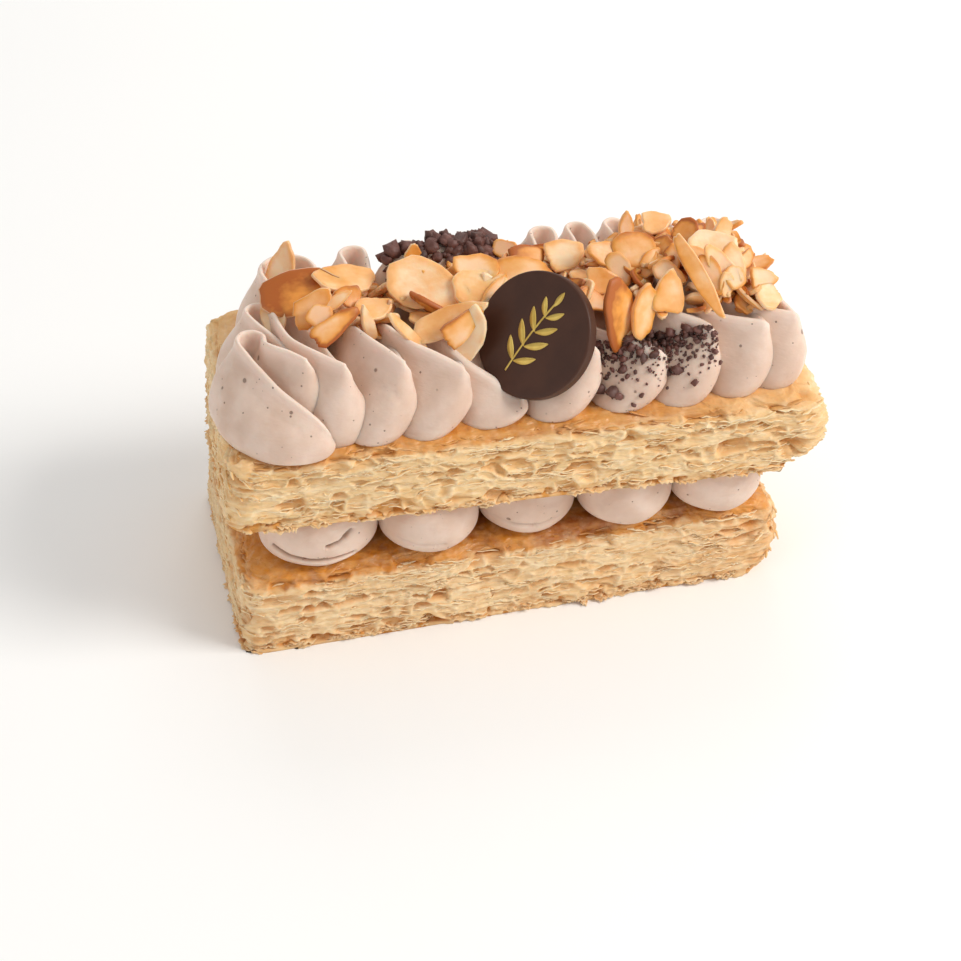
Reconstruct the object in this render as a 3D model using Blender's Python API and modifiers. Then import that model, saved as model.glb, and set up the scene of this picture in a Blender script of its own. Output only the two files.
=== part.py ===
"""A mille feuille slice: two flaky pastry slabs, five piped filling fingers between them,
a ruffled ribbon of piped cream on top, a heap of toasted almond flakes and a chocolate disc.

Lengths below are in millimetres. x runs along the slice from its left end, y from its front
edge towards the back, and z up from the plate. The finished slice is centred on its base.
"""

import math

import bmesh
import bpy
import numpy as np
from mathutils import Matrix, Vector

MM = 0.001
GAP = 0.3

# Pastry slabs.
SLAB_DEPTH = 62.0
LOWER_LENGTH = 117.0
UPPER_LENGTH = 126.5
LOWER_HEIGHT = 19.5
FILLING_HEIGHT = 14.0
UPPER_HEIGHT = 17.0
LOWER_TURN = 1.0
UPPER_TURN = -2.0
LOWER_MIDDLE = (58.5, 31.0)
UPPER_MIDDLE = (64.0, 28.8)
LOWER_END_BULGE = 4.0
UPPER_END_BULGE = 5.0
END_UNDERCUT = 3.0
LEAF_RELIEF = 0.7
LEAF_LEVELS = 7
CRUMB_INSET = 1.2
CORNER_CUT = 5.0
TOP_WAVE = 0.9
SLAB_CELLS = (22, 11)

# Filling fingers: the seams between them along the front, and how far back each one starts.
FILLING_SEAMS = (3.5, 29.0, 52.2, 72.8, 93.8, 114.2)
FILLING_FRONTS = (1.0, 2.4, 2.6, 3.2, 3.0)
FILLING_BACK = 57.5
FILLING_END = 9.0
FILLING_FULLNESS = 1.3

# Cream ribbon. Its tail lies along the left end: foot x and y, crest x and y, crest height.
TAIL = (
    (18.5, 6.0, 21.5, 3.6, 5.0),
    (11.5, 3.4, 16.0, 6.0, 9.0),
    (5.6, 6.6, 10.5, 11.0, 14.0),
    (3.2, 14.0, 6.4, 16.0, 17.0),
)
# One row for each front turn, left to right: foot x, crest x, crest y and crest height.
FRONT_TURNS = (
    (16.5, 18.5, 8.0, 17.0),
    (23.5, 27.0, 6.5, 15.5),
    (30.5, 37.5, 6.0, 15.0),
    (40.5, 50.0, 5.5, 12.5),
    (54.0, 62.0, 5.0, 11.0),
    (69.0, 77.0, 5.0, 11.0),
    (83.0, 91.5, 5.0, 11.0),
    (95.5, 103.0, 6.0, 15.0),
    (107.5, 114.5, 5.5, 14.5),
    (118.0, 122.5, 6.5, 14.5),
)
# One row for the back turn before each front turn, and one after the last:
# foot x, foot y, crest x, crest y and the crest's turning radius.
BACK_TURNS = (
    (4.5, 24.0, 6.5, 22.0, 1.6),
    (6.5, 34.5, 9.5, 32.0, 1.6),
    (15.5, 50.0, 18.5, 51.5, 6.0),
    (29.0, 52.5, 33.5, 51.5, 2.2),
    (41.5, 52.5, 46.0, 51.0, 2.0),
    (56.0, 52.5, 61.0, 51.0, 2.4),
    (70.0, 52.0, 76.5, 50.5, 2.0),
    (80.5, 52.0, 84.5, 50.5, 1.8),
    (90.0, 52.0, 93.5, 50.5, 2.2),
    (101.0, 52.0, 105.0, 50.5, 2.0),
    (112.5, 51.0, 116.0, 49.5, 2.2),
)
BACK_CREST_HEIGHT = 17.0
FOOT_FRONT = 3.4
FOOT_TURN_RADIUS = 3.0
FRONT_CREST_RADIUS = 0.9
FOOT_HALF_WIDTH = 4.2
# The ribbon's section from foot to crest: share of height, share of the foot's half-width.
RIBBON_SECTION = ((0.0, 0.8), (0.15, 1.0), (0.4, 0.86), (0.7, 0.5), (0.92, 0.26), (1.0, 0.12))
ARC_STEPS = 6
STROKE_STEPS = 7
CORE_SIZE = (106.0, 38.0, 12.0)
CORE_MIDDLE = (64.0, 28.0)
CREAM_VOXEL = 1.0
CREAM_KEPT_FACES = 0.030

# Almond heap.
HEAP_MIDDLE = (65.0, 28.5)
HEAP_HALF_SIZE = (54.0, 18.0)
HEAP_SKEW = 3.0
HEAP_FOOT = 13.5
HEAP_FRONT_DROP = 3.0
HEAP_THICKNESS = 9.5
HEAP_BUMPS = 60
HEAP_BUMP_HEIGHT = 2.6
HEAP_BUMP_RADIUS = 5.5

# Chocolate disc, leaning back on the cream and the almonds.
DISC_DIAMETER = 27.0
DISC_THICKNESS = 3.2
DISC_BEVEL = 0.7
DISC_CENTRE = (65.5, 9.5, 16.2)
DISC_FACING = (-0.64, -0.50, 0.58)
DISC_SIDES = 40
DISC_CLEARING = 26.0

LOWER_TOP = LOWER_HEIGHT
UPPER_BASE = LOWER_TOP + FILLING_HEIGHT
UPPER_TOP = UPPER_BASE + UPPER_HEIGHT
CREAM_BASE = UPPER_TOP + GAP


def clear_scene():
    for scene_object in list(bpy.data.objects):
        bpy.data.objects.remove(scene_object, do_unlink=True)


def new_collection(name):
    collection = bpy.data.collections.new(name)
    bpy.context.scene.collection.children.link(collection)
    return collection


def finish(name, colour, roughness):
    material = bpy.data.materials.new(name)
    material.use_nodes = True
    shader = material.node_tree.nodes["Principled BSDF"]
    shader.inputs["Base Color"].default_value = (*colour, 1.0)
    shader.inputs["Roughness"].default_value = roughness
    shader.inputs["Metallic"].default_value = 0.0
    return material


def add_object(name, mesh, material, collection):
    part = bpy.data.objects.new(name, mesh)
    if material is not None:
        mesh.materials.clear()
        mesh.materials.append(material)
    collection.objects.link(part)
    return part


def mesh_from_bmesh(name, builder):
    bmesh.ops.recalc_face_normals(builder, faces=builder.faces)
    mesh = bpy.data.meshes.new(name)
    builder.to_mesh(mesh)
    builder.free()
    return mesh


def ripple(x, y, seed):
    """A smooth uneven value between about -1 and 1 over the plan."""
    rng = np.random.default_rng(seed)
    total = 0.0
    for _ in range(5):
        wave_x, wave_y = rng.normal(0.0, 0.11, 2)
        total += math.sin(x * wave_x + y * wave_y + rng.uniform(0.0, math.tau))
    return total / 3.0


# Pastry

def end_reach(level, bulging):
    """How far the baked right end stands out at a level: round in the middle, drawn in below."""
    swell = bulging * math.sin(math.pi * level) ** 0.7 if 0.0 < level < 1.0 else 0.0
    return swell - END_UNDERCUT * (1.0 - level) ** 2


def slab_point(across, along, level, size, seed, bulging):
    """The place of a slab vertex: across and along run from -1 to 1, level from 1 (top) to 0."""
    length, depth, height = size
    rng = np.random.default_rng([seed, round(across * 500) + 500, round(along * 500) + 500,
                                 round(level * 100)])
    x = across * length / 2.0
    y = along * depth / 2.0
    on_end = abs(across) > 0.999
    on_side = abs(along) > 0.999
    relief = rng.uniform(-LEAF_RELIEF, LEAF_RELIEF) - CRUMB_INSET * (level < 0.01)
    if on_side:
        y += math.copysign(relief, along)
    if on_end:
        x += math.copysign(relief, across)
    if on_end and across > 0:
        x += end_reach(level, bulging)
    corner = max(0.0, abs(across) * abs(along) - 0.7) / 0.3
    x -= math.copysign(CORNER_CUT * corner ** 2 * (0.3 + 0.7 * (along > 0.0)), across)
    y -= math.copysign(CRUMB_INSET * corner ** 2, along)
    sag = TOP_WAVE * (0.5 + 0.5 * ripple(x, y, seed)) if level > 0.99 else 0.0
    return Vector((x, y, level * height - sag))


def pastry_slab(name, size, middle, base, turn, bulging, seed):
    """A grid for the top, leafy side rings drawn down from its border, and a flat underside."""
    builder = bmesh.new()
    bmesh.ops.create_grid(builder, x_segments=SLAB_CELLS[0], y_segments=SLAB_CELLS[1], size=1.0)
    ring = [edge for edge in builder.edges if edge.is_boundary]
    plan = {vertex: (vertex.co.x, vertex.co.y) for vertex in builder.verts}
    level_of = {vertex: 1.0 for vertex in builder.verts}
    for step in range(1, LEAF_LEVELS + 1):
        level = 1.0 - step / LEAF_LEVELS
        drawn = bmesh.ops.extrude_edge_only(builder, edges=ring)["geom"]
        for vertex in (item for item in drawn if isinstance(item, bmesh.types.BMVert)):
            plan[vertex] = (vertex.co.x, vertex.co.y)
            level_of[vertex] = level
        ring = [item for item in drawn if isinstance(item, bmesh.types.BMEdge)
                and all(level_of[vertex] == level for vertex in item.verts)]
    bmesh.ops.contextual_create(builder, geom=ring)
    for vertex, (across, along) in plan.items():
        vertex.co = slab_point(across, along, level_of[vertex], size, seed, bulging) * MM
    place = Matrix.Translation(Vector((*middle, base)) * MM) @ Matrix.Rotation(
        math.radians(turn), 4, "Z")
    builder.transform(place)
    return mesh_from_bmesh(name, builder)


# Filling

def filling_finger(name, left, right, front, base, height):
    """A stretched ball between two seams, pressed flat above and below."""
    builder = bmesh.new()
    bmesh.ops.create_uvsphere(builder, u_segments=16, v_segments=8, radius=1.0)
    bmesh.ops.rotate(builder, verts=builder.verts, matrix=Matrix.Rotation(math.pi / 2, 3, "X"))
    half_width = (right - left - GAP) / 2.0
    half_run = (FILLING_BACK - front) / 2.0
    for vertex in builder.verts:
        across, along, up = vertex.co
        straight = math.copysign(half_run - FILLING_END, along) if abs(along) > 1e-6 else 0.0
        rise = max(-0.5, min(0.5, up * FILLING_FULLNESS / 2.0))
        vertex.co = Vector((
            (left + right) / 2.0 + across * half_width,
            front + half_run + straight + along * FILLING_END,
            base + height * (rise + 0.5),
        )) * MM
    return mesh_from_bmesh(name, builder)


# Cream ribbon

def turn_arc(centre_x, centre_y, radius, front):
    """Half a circle from the left side of a turn to its right side, round its outer end."""
    angles = np.linspace(math.pi, math.tau if front else 0.0, ARC_STEPS)
    return np.column_stack((centre_x + radius * np.cos(angles), centre_y + radius * np.sin(angles)))


def joined_turns(arcs):
    """The turns in order, with straight strokes of even steps between them."""
    pieces = [arcs[0]]
    for before, after in zip(arcs, arcs[1:]):
        share = np.linspace(0.0, 1.0, STROKE_STEPS + 2)[1:-1, None]
        pieces.append(before[-1] * (1.0 - share) + after[0] * share)
        pieces.append(after)
    return np.vstack(pieces)


def ribbon_rails():
    """The foot rail and the crest rail of the ribbon, with the crest's height at each step."""
    tail = np.array(TAIL)
    foot_arcs, crest_arcs, height_arcs = [tail[:, 0:2]], [tail[:, 2:4]], [tail[:, 4:5]]
    for number, (foot_x, foot_y, crest_x, crest_y, radius) in enumerate(BACK_TURNS):
        foot_radius = max(FOOT_TURN_RADIUS, radius + 1.0)
        foot_arcs.append(turn_arc(foot_x, foot_y - foot_radius, foot_radius, False))
        crest_arcs.append(turn_arc(crest_x, crest_y - radius, radius, False))
        height_arcs.append(np.full((ARC_STEPS, 1), BACK_CREST_HEIGHT))
        if number < len(FRONT_TURNS):
            foot_x, crest_x, crest_y, height = FRONT_TURNS[number]
            foot_arcs.append(turn_arc(foot_x, FOOT_FRONT + FOOT_TURN_RADIUS, FOOT_TURN_RADIUS,
                                      True))
            crest_arcs.append(turn_arc(crest_x, crest_y + FRONT_CREST_RADIUS,
                                       FRONT_CREST_RADIUS, True))
            height_arcs.append(np.full((ARC_STEPS, 1), height))
    return joined_turns(foot_arcs), joined_turns(crest_arcs), joined_turns(height_arcs)[:, 0]


def ribbon_mesh(name):
    """The ribbon's section carried along the two rails: foot + (crest - foot) * share."""
    foot, crest, height = ribbon_rails()
    levels = []
    for share, width in RIBBON_SECTION:
        path = foot + (crest - foot) * share
        ahead = np.gradient(path, axis=0)
        ahead /= np.linalg.norm(ahead, axis=1, keepdims=True)
        aside = np.column_stack((-ahead[:, 1], ahead[:, 0])) * FOOT_HALF_WIDTH * width
        rise = CREAM_BASE - 1.0 + (height + 1.0) * share
        levels.append([np.column_stack((path + side * aside, rise)) for side in (1.0, -1.0)])
    section = [level[0] for level in levels] + [level[1] for level in reversed(levels)]
    points = np.stack(section, axis=1) * MM
    steps, around = points.shape[:2]
    faces = [(i * around + j, i * around + (j + 1) % around,
              (i + 1) * around + (j + 1) % around, (i + 1) * around + j)
             for i in range(steps - 1) for j in range(around)]
    faces.append(tuple(range(around)))
    faces.append(tuple((steps - 1) * around + j for j in reversed(range(around))))
    mesh = bpy.data.meshes.new(name)
    mesh.from_pydata(points.reshape(-1, 3).tolist(), [], faces)
    return mesh


def add_core(builder):
    """The solid middle of the cream, under the ribbon's strokes."""
    size = Vector(CORE_SIZE) * MM
    middle = Vector((*CORE_MIDDLE, CREAM_BASE - 1.0 + CORE_SIZE[2] / 2.0)) * MM
    place = Matrix.Translation(middle) @ Matrix.Diagonal((*size, 1.0))
    bmesh.ops.create_cube(builder, size=1.0, matrix=place)


def baked(part):
    """The part's evaluated mesh, as a mesh of its own."""
    bpy.context.view_layer.update()
    evaluated = part.evaluated_get(bpy.context.evaluated_depsgraph_get())
    mesh = bpy.data.meshes.new_from_object(evaluated)
    mesh.transform(part.matrix_world)
    return mesh


def welded_ribbon(name, collection):
    """The ribbon and its core fused into one skin with fewer, larger faces."""
    builder = bmesh.new()
    builder.from_mesh(ribbon_mesh(name))
    bmesh.ops.recalc_face_normals(builder, faces=builder.faces)
    add_core(builder)
    loose = bpy.data.meshes.new(name)
    builder.to_mesh(loose)
    builder.free()
    skin = add_object(name + "_skin", loose, None, collection)
    fuse = skin.modifiers.new("fuse", "REMESH")
    fuse.mode = "VOXEL"
    fuse.voxel_size = CREAM_VOXEL * MM
    thin = skin.modifiers.new("thin", "DECIMATE")
    thin.ratio = CREAM_KEPT_FACES
    mesh = baked(skin)
    bpy.data.objects.remove(skin, do_unlink=True)
    return mesh


def foot_block(name, collection):
    """A block whose top is the level that the cream stands on."""
    builder = bmesh.new()
    size = Vector((200.0, 120.0, 20.0)) * MM
    middle = Vector((UPPER_MIDDLE[0], UPPER_MIDDLE[1], CREAM_BASE - 10.0)) * MM
    place = Matrix.Translation(middle) @ Matrix.Diagonal((*size, 1.0))
    bmesh.ops.create_cube(builder, size=1.0, matrix=place)
    return add_object(name, mesh_from_bmesh(name, builder), None, collection)


def largest_body(mesh):
    """The mesh without any crumb that a cut has left beside its largest body."""
    builder = bmesh.new()
    builder.from_mesh(mesh)
    bodies, seen = [], set()
    for start in builder.verts:
        if start in seen:
            continue
        body, front = [], [start]
        seen.add(start)
        while front:
            vertex = front.pop()
            body.append(vertex)
            for edge in vertex.link_edges:
                other = edge.other_vert(vertex)
                if other not in seen:
                    seen.add(other)
                    front.append(other)
        bodies.append(body)
    bodies.sort(key=len, reverse=True)
    crumbs = [vertex for body in bodies[1:] for vertex in body]
    bmesh.ops.delete(builder, geom=crumbs, context="VERTS")
    builder.to_mesh(mesh)
    builder.free()


def cut_by(part, cutters, solver):
    """Cuts the part by each cutter and keeps the result as the part's mesh."""
    for cutter in cutters:
        cut = part.modifiers.new("cut", "BOOLEAN")
        cut.operation = "DIFFERENCE"
        cut.solver = solver
        cut.object = cutter
    mesh = baked(part)
    part.modifiers.clear()
    largest_body(mesh)
    part.data = mesh


# Almond heap

def heap_mesh(name, swell):
    """A ball spread over an uneven outline, with a flat foot and a bumpy crown."""
    builder = bmesh.new()
    bmesh.ops.create_icosphere(builder, subdivisions=4, radius=1.0)
    rng = np.random.default_rng(7)
    bumps = rng.uniform((-0.95, -0.95), (0.95, 0.95), (HEAP_BUMPS, 2))
    rises = rng.uniform(0.3, 1.0, HEAP_BUMPS) * HEAP_BUMP_HEIGHT
    for vertex in builder.verts:
        x, y, z = vertex.co
        turn = math.atan2(y, x)
        reach = 1.0 + 0.07 * math.sin(3.0 * turn + 0.6) + 0.05 * math.sin(8.0 * turn + 2.0)
        square = max(abs(x), abs(y)) / max(math.hypot(x, y), 1e-9)
        square = 1.0 / max(square, 0.8)
        plan = np.array((x, y)) * reach * square
        place = plan * HEAP_HALF_SIZE
        offset = np.hypot(*((bumps * HEAP_HALF_SIZE - place) / HEAP_BUMP_RADIUS).T)
        bump = float(np.max(rises * np.exp(-offset ** 2)))
        slope = 0.75 + 0.25 * math.tanh(place[0] / 25.0)
        if z > 0.0:
            up = z ** 0.8 * (HEAP_THICKNESS * slope + bump)
        else:
            up = z * 2.0
        drop = HEAP_FRONT_DROP * max(0.0, -plan[1]) ** 2
        skew = -HEAP_SKEW * plan[0]
        point = Vector((HEAP_MIDDLE[0] + place[0], HEAP_MIDDLE[1] + place[1] + skew,
                        CREAM_BASE + HEAP_FOOT + up - drop))
        vertex.co = (point + Vector((x, y, z)) * swell) * MM
    return mesh_from_bmesh(name, builder)


# Chocolate disc

def disc_solid(name, swell, clearing, material, collection):
    """A bevelled cylinder whose face looks along DISC_FACING, with a clearing before it."""
    depth = DISC_THICKNESS + 2.0 * swell + clearing
    bpy.ops.mesh.primitive_cylinder_add(vertices=DISC_SIDES, depth=depth * MM,
                                        radius=(DISC_DIAMETER / 2.0 + swell) * MM)
    disc = bpy.context.object
    disc.name = name
    disc.data.name = name
    for holder in list(disc.users_collection):
        holder.objects.unlink(disc)
    collection.objects.link(disc)
    if material is not None:
        disc.data.materials.append(material)
    facing = Vector(DISC_FACING).normalized()
    middle = Vector((DISC_CENTRE[0], DISC_CENTRE[1], CREAM_BASE + DISC_CENTRE[2]))
    disc.location = (middle + facing * clearing / 2.0) * MM
    disc.rotation_euler = facing.to_track_quat("Z", "Y").to_euler()
    edge = disc.modifiers.new("edge", "BEVEL")
    edge.width = DISC_BEVEL * MM
    edge.segments = 2
    edge.limit_method = "ANGLE"
    return disc


def hide_cutter(cutter):
    cutter.hide_render = True
    cutter.display_type = "WIRE"


def centre_on_base(parts, helpers):
    """Moves every part and helper so that the bottom centre of the parts' box is the origin."""
    bpy.context.view_layer.update()
    points = [part.matrix_world @ vertex.co for part in parts for vertex in part.data.vertices]
    low = Vector([min(point[axis] for point in points) for axis in range(3)])
    high = Vector([max(point[axis] for point in points) for axis in range(3)])
    shift = Vector((-(low.x + high.x) / 2.0, -(low.y + high.y) / 2.0, -low.z))
    for part in parts + helpers:
        part.location += shift


def shade_round(part, sharp_degrees):
    part.data.shade_smooth()
    part.data.set_sharp_from_angle(angle=math.radians(sharp_degrees))


def build():
    clear_scene()
    slice_parts = new_collection("mille_feuille_slice")
    cutters = new_collection("cutters")
    crumb = finish("pastry", (0.80, 0.56, 0.27), 0.75)
    filling = finish("filling_cream", (0.66, 0.47, 0.36), 0.5)
    cream = finish("ruffle_cream", (0.68, 0.49, 0.38), 0.5)
    almond = finish("toasted_almond", (0.78, 0.42, 0.16), 0.45)
    chocolate = finish("dark_chocolate", (0.045, 0.02, 0.014), 0.35)

    lower = pastry_slab("lower_pastry", (LOWER_LENGTH, SLAB_DEPTH, LOWER_HEIGHT), LOWER_MIDDLE,
                        0.0, LOWER_TURN, LOWER_END_BULGE, 11)
    upper = pastry_slab("upper_pastry", (UPPER_LENGTH, SLAB_DEPTH, UPPER_HEIGHT), UPPER_MIDDLE,
                        UPPER_BASE, UPPER_TURN, UPPER_END_BULGE, 23)
    add_object("lower_pastry", lower, crumb, slice_parts)
    add_object("upper_pastry", upper, crumb, slice_parts)

    seams = zip(FILLING_SEAMS, FILLING_SEAMS[1:], FILLING_FRONTS)
    for number, (left, right, front) in enumerate(seams, start=1):
        name = f"filling_{number}"
        finger = filling_finger(name, left, right, front, LOWER_TOP + GAP,
                                FILLING_HEIGHT - 2.0 * GAP)
        shade_round(add_object(name, finger, filling, slice_parts), 50.0)

    disc = disc_solid("chocolate_disc", 0.0, 0.0, chocolate, slice_parts)
    shade_round(disc, 30.0)
    disc_cutter = disc_solid("disc_cutter", GAP, 0.0, None, cutters)
    clearing_cutter = disc_solid("clearing_cutter", GAP, DISC_CLEARING, None, cutters)
    heap_cutter = add_object("heap_cutter", heap_mesh("heap_cutter", 2.0 * GAP), None, cutters)
    foot_cutter = foot_block("foot_cutter", cutters)
    for cutter in (disc_cutter, clearing_cutter, heap_cutter, foot_cutter):
        hide_cutter(cutter)

    heap = add_object("almond_heap", heap_mesh("almond_heap", 0.0), almond, slice_parts)
    cut_by(heap, (clearing_cutter,), "EXACT")
    ruffle = add_object("cream_ruffle", welded_ribbon("cream_ruffle", slice_parts), cream,
                        slice_parts)
    cut_by(ruffle, (foot_cutter, heap_cutter, disc_cutter), "MANIFOLD")  # EXACT drops the cream
    shade_round(ruffle, 60.0)
    centre_on_base(list(slice_parts.objects), list(cutters.objects))


build()
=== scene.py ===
import itertools
import math

import bmesh
import bpy
import numpy as np
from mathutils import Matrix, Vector
from mathutils.bvhtree import BVHTree


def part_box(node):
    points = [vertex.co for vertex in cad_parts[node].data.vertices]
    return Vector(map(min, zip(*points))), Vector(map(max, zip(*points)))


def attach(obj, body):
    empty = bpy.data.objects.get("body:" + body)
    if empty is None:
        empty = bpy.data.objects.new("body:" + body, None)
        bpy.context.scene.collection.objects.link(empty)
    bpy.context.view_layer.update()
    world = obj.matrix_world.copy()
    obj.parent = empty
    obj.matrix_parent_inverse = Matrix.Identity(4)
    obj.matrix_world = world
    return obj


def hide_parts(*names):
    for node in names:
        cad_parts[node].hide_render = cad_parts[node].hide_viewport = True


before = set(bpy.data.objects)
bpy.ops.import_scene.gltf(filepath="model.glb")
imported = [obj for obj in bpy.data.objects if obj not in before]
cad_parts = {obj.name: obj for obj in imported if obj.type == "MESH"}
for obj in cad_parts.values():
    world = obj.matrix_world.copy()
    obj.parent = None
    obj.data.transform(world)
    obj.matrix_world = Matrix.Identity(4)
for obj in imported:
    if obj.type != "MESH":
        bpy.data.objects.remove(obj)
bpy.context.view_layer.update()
scene = bpy.context.scene

# Everything is worked out in millimetres in the slice's own frame: x from its left end,
# y from its front edge towards the back, z up from what it stands on. The disc's known
# place in that frame and its box in the loaded model tie the two together.
mm = 0.001
disc = {
    "middle": (65.5, 9.5, 67.0),
    "facing": (-0.64, -0.50, 0.58),
    "radius": 13.5,
    "thickness": 3.2,
    "bevel": 0.55,
}


def boxMiddle(node):
    # the middle of a node's box in the loaded model, in millimetres
    low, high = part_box(node)
    return np.array((low + high) / 2.0) / mm


sliceShift = boxMiddle("chocolate_disc") - np.array(disc["middle"])
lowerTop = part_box("lower_pastry")[1].z / mm
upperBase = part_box("upper_pastry")[0].z / mm
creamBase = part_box("cream_ruffle")[0].z / mm


def place(points):
    # from the slice's own millimetres to the row frame's metres
    return (np.asarray(points, float) + sliceShift) * mm


def smoothStep(low, high, value):
    # nought below low, one above high, and an S between them
    share = np.clip((value - low) / (high - low), 0.0, 1.0)
    return share * share * (3.0 - 2.0 * share)


def valueNoise(points, scale, seed):
    # random values on a wrapped cubic lattice, blended smoothly from each cell's eight corners
    size = 32
    table = np.random.default_rng(seed).uniform(-1.0, 1.0, (size, size, size))
    spot = np.asarray(points, float) / np.asarray(scale, float)
    cell = np.floor(spot).astype(int)
    part = spot - cell
    part = part * part * (3.0 - 2.0 * part)
    total = np.zeros(spot.shape[:-1])
    for corner in itertools.product((0, 1), repeat=3):
        pick = np.array(corner)
        weight = np.where(pick, part, 1.0 - part).prod(axis=-1)
        index = (cell + pick) % size
        total += weight * table[index[..., 0], index[..., 1], index[..., 2]]
    return total


def layeredNoise(points, scale, seed, layers=3):
    # the same noise again at half the size and half the strength
    scale = np.asarray(scale, float)
    return sum(valueNoise(points, scale / 2 ** k, seed + k) / 2 ** k for k in range(layers))


def cellNoise(points, scale, seed):
    # random points, one to a cell of a lattice: how far each spot is from the border between its two
    # nearest points, a chance number of the nearest point, and how far above that point the spot lies
    size = 32
    rng = np.random.default_rng(seed)
    jitter = rng.uniform(0.1, 0.9, (size, size, size, 3))
    own = rng.uniform(0.0, 1.0, (size, size, size))
    flat = (np.asarray(points, float) / np.asarray(scale, float)).reshape(-1, 3)
    cell = np.floor(flat).astype(int)
    nearest, second = np.full(len(flat), 9.0), np.full(len(flat), 9.0)
    chance, above = np.zeros(len(flat)), np.zeros(len(flat))
    for corner in itertools.product((-1, 0, 1), repeat=3):
        pick = cell + corner
        index = tuple((pick % size).T)
        away = flat - pick - jitter[index]
        reach = np.linalg.norm(away, axis=1)
        closer = reach < nearest
        second = np.where(closer, nearest, np.minimum(second, reach))
        chance = np.where(closer, own[index], chance)
        above = np.where(closer, away[:, 2], above)
        nearest = np.where(closer, reach, nearest)
    shape = np.shape(points)[:-1]
    return (second - nearest).reshape(shape), chance.reshape(shape), above.reshape(shape)


def unit(vectors):
    # each vector divided by its own length
    return vectors / np.maximum(np.linalg.norm(vectors, axis=-1, keepdims=True), 1e-9)


def gridFaces(rows, columns, first=0, wrap=True):
    # quads between neighbouring rows; wrap joins the last column to the first
    row = np.arange(rows - 1)[:, None] * columns
    column = np.arange(columns if wrap else columns - 1)[None, :]
    after = (column + 1) % columns
    corners = np.stack((row + column, row + after, row + columns + after, row + columns + column), -1)
    return corners.reshape(-1, 4) + first


def fanFaces(pole, firstOfRing, columns, flip=False):
    # triangles from a pole to a ring
    here = np.arange(columns)
    after = (here + 1) % columns
    order = (after, here) if flip else (here, after)
    return np.stack((np.full(columns, pole), firstOfRing + order[0], firstOfRing + order[1]), -1)


def closedRows(rows, lowPole, highPole):
    # rows (rows, columns, 3) with a pole before the first and after the last
    count, columns = rows.shape[:2]
    points = np.vstack((rows.reshape(-1, 3), lowPole, highPole))
    quads = gridFaces(count, columns)
    total = count * columns
    fans = np.vstack((fanFaces(total, 0, columns, True),
                      fanFaces(total + 1, (count - 1) * columns, columns)))
    return points, [quads, fans]


def repeatedFaces(count, vertices, rows, columns):
    # the faces of a small closed grid with its two poles last, once for each of count copies
    total = rows * columns
    quads = gridFaces(rows, columns)
    fans = np.vstack((fanFaces(total, 0, columns, True),
                      fanFaces(total + 1, (rows - 1) * columns, columns)))
    offset = np.arange(count)[:, None, None] * vertices
    return [(quads[None] + offset).reshape(-1, 4), (fans[None] + offset).reshape(-1, 3)]


def addPiece(name, points, faces, material, nodes=(), marks=None, smooth=True, turnOut=True):
    # one mesh from whole arrays: points in slice millimetres, faces three or four corners wide
    mesh = bpy.data.meshes.new(name)
    mesh.vertices.add(len(points))
    mesh.vertices.foreach_set("co", place(points).astype(np.float32).ravel())
    corners = np.concatenate([group.ravel() for group in faces])
    widths = np.concatenate([np.full(len(group), group.shape[1]) for group in faces])
    mesh.loops.add(len(corners))
    mesh.loops.foreach_set("vertex_index", corners.astype(np.int32))
    mesh.polygons.add(len(widths))
    starts = np.concatenate(((0,), np.cumsum(widths)[:-1]))
    mesh.polygons.foreach_set("loop_start", starts.astype(np.int32))
    mesh.polygons.foreach_set("loop_total", widths.astype(np.int32))
    for markName, values in (marks or {}).items():
        layer = mesh.attributes.new(markName, "FLOAT", "POINT")
        layer.data.foreach_set("value", np.asarray(values, np.float32).ravel())
    mesh.update(calc_edges=True)
    mesh.validate()
    if turnOut:
        builder = bmesh.new()
        builder.from_mesh(mesh)
        bmesh.ops.recalc_face_normals(builder, faces=builder.faces)
        builder.to_mesh(mesh)
        builder.free()
    if smooth:
        mesh.shade_smooth()
    mesh.materials.append(material)
    piece = bpy.data.objects.new(name, mesh)
    scene.collection.objects.link(piece)
    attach(piece, "root")
    if nodes:
        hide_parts(*nodes)
    print("made", name, len(mesh.polygons), "faces")
    return piece


def newGroup(name, inputs, outputs):
    # an empty shader group with its named sockets, and its two end nodes
    group = bpy.data.node_groups.new(name, "ShaderNodeTree")
    for socket, kind, value in inputs:
        made = group.interface.new_socket(name=socket, in_out="INPUT", socket_type=kind)
        if value is not None:
            made.default_value = value
    for socket, kind in outputs:
        group.interface.new_socket(name=socket, in_out="OUTPUT", socket_type=kind)
    return group, group.nodes.new("NodeGroupInput"), group.nodes.new("NodeGroupOutput")


def fillInputs(tree, node, values):
    # each named or numbered input is linked, or set where the value is a plain one
    for socket, value in values.items():
        if isinstance(value, bpy.types.NodeSocket):
            tree.links.new(value, node.inputs[socket])
        else:
            node.inputs[socket].default_value = value


def addNode(tree, kind, values=None, **settings):
    node = tree.nodes.new(kind)
    for key, value in settings.items():
        setattr(node, key, value)
    fillInputs(tree, node, values or {})
    return node


def addMath(tree, operation, first, second=0.0, clamp=False):
    node = addNode(tree, "ShaderNodeMath", {0: first, 1: second}, operation=operation)
    node.use_clamp = clamp
    return node.outputs[0]


# the three kinds of sum used most have their own short names
def times(tree, first, second, clamp=False):
    return addMath(tree, "MULTIPLY", first, second, clamp)


def plus(tree, first, second, clamp=False):
    return addMath(tree, "ADD", first, second, clamp)


def minus(tree, first, second):
    return addMath(tree, "SUBTRACT", first, second)


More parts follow.
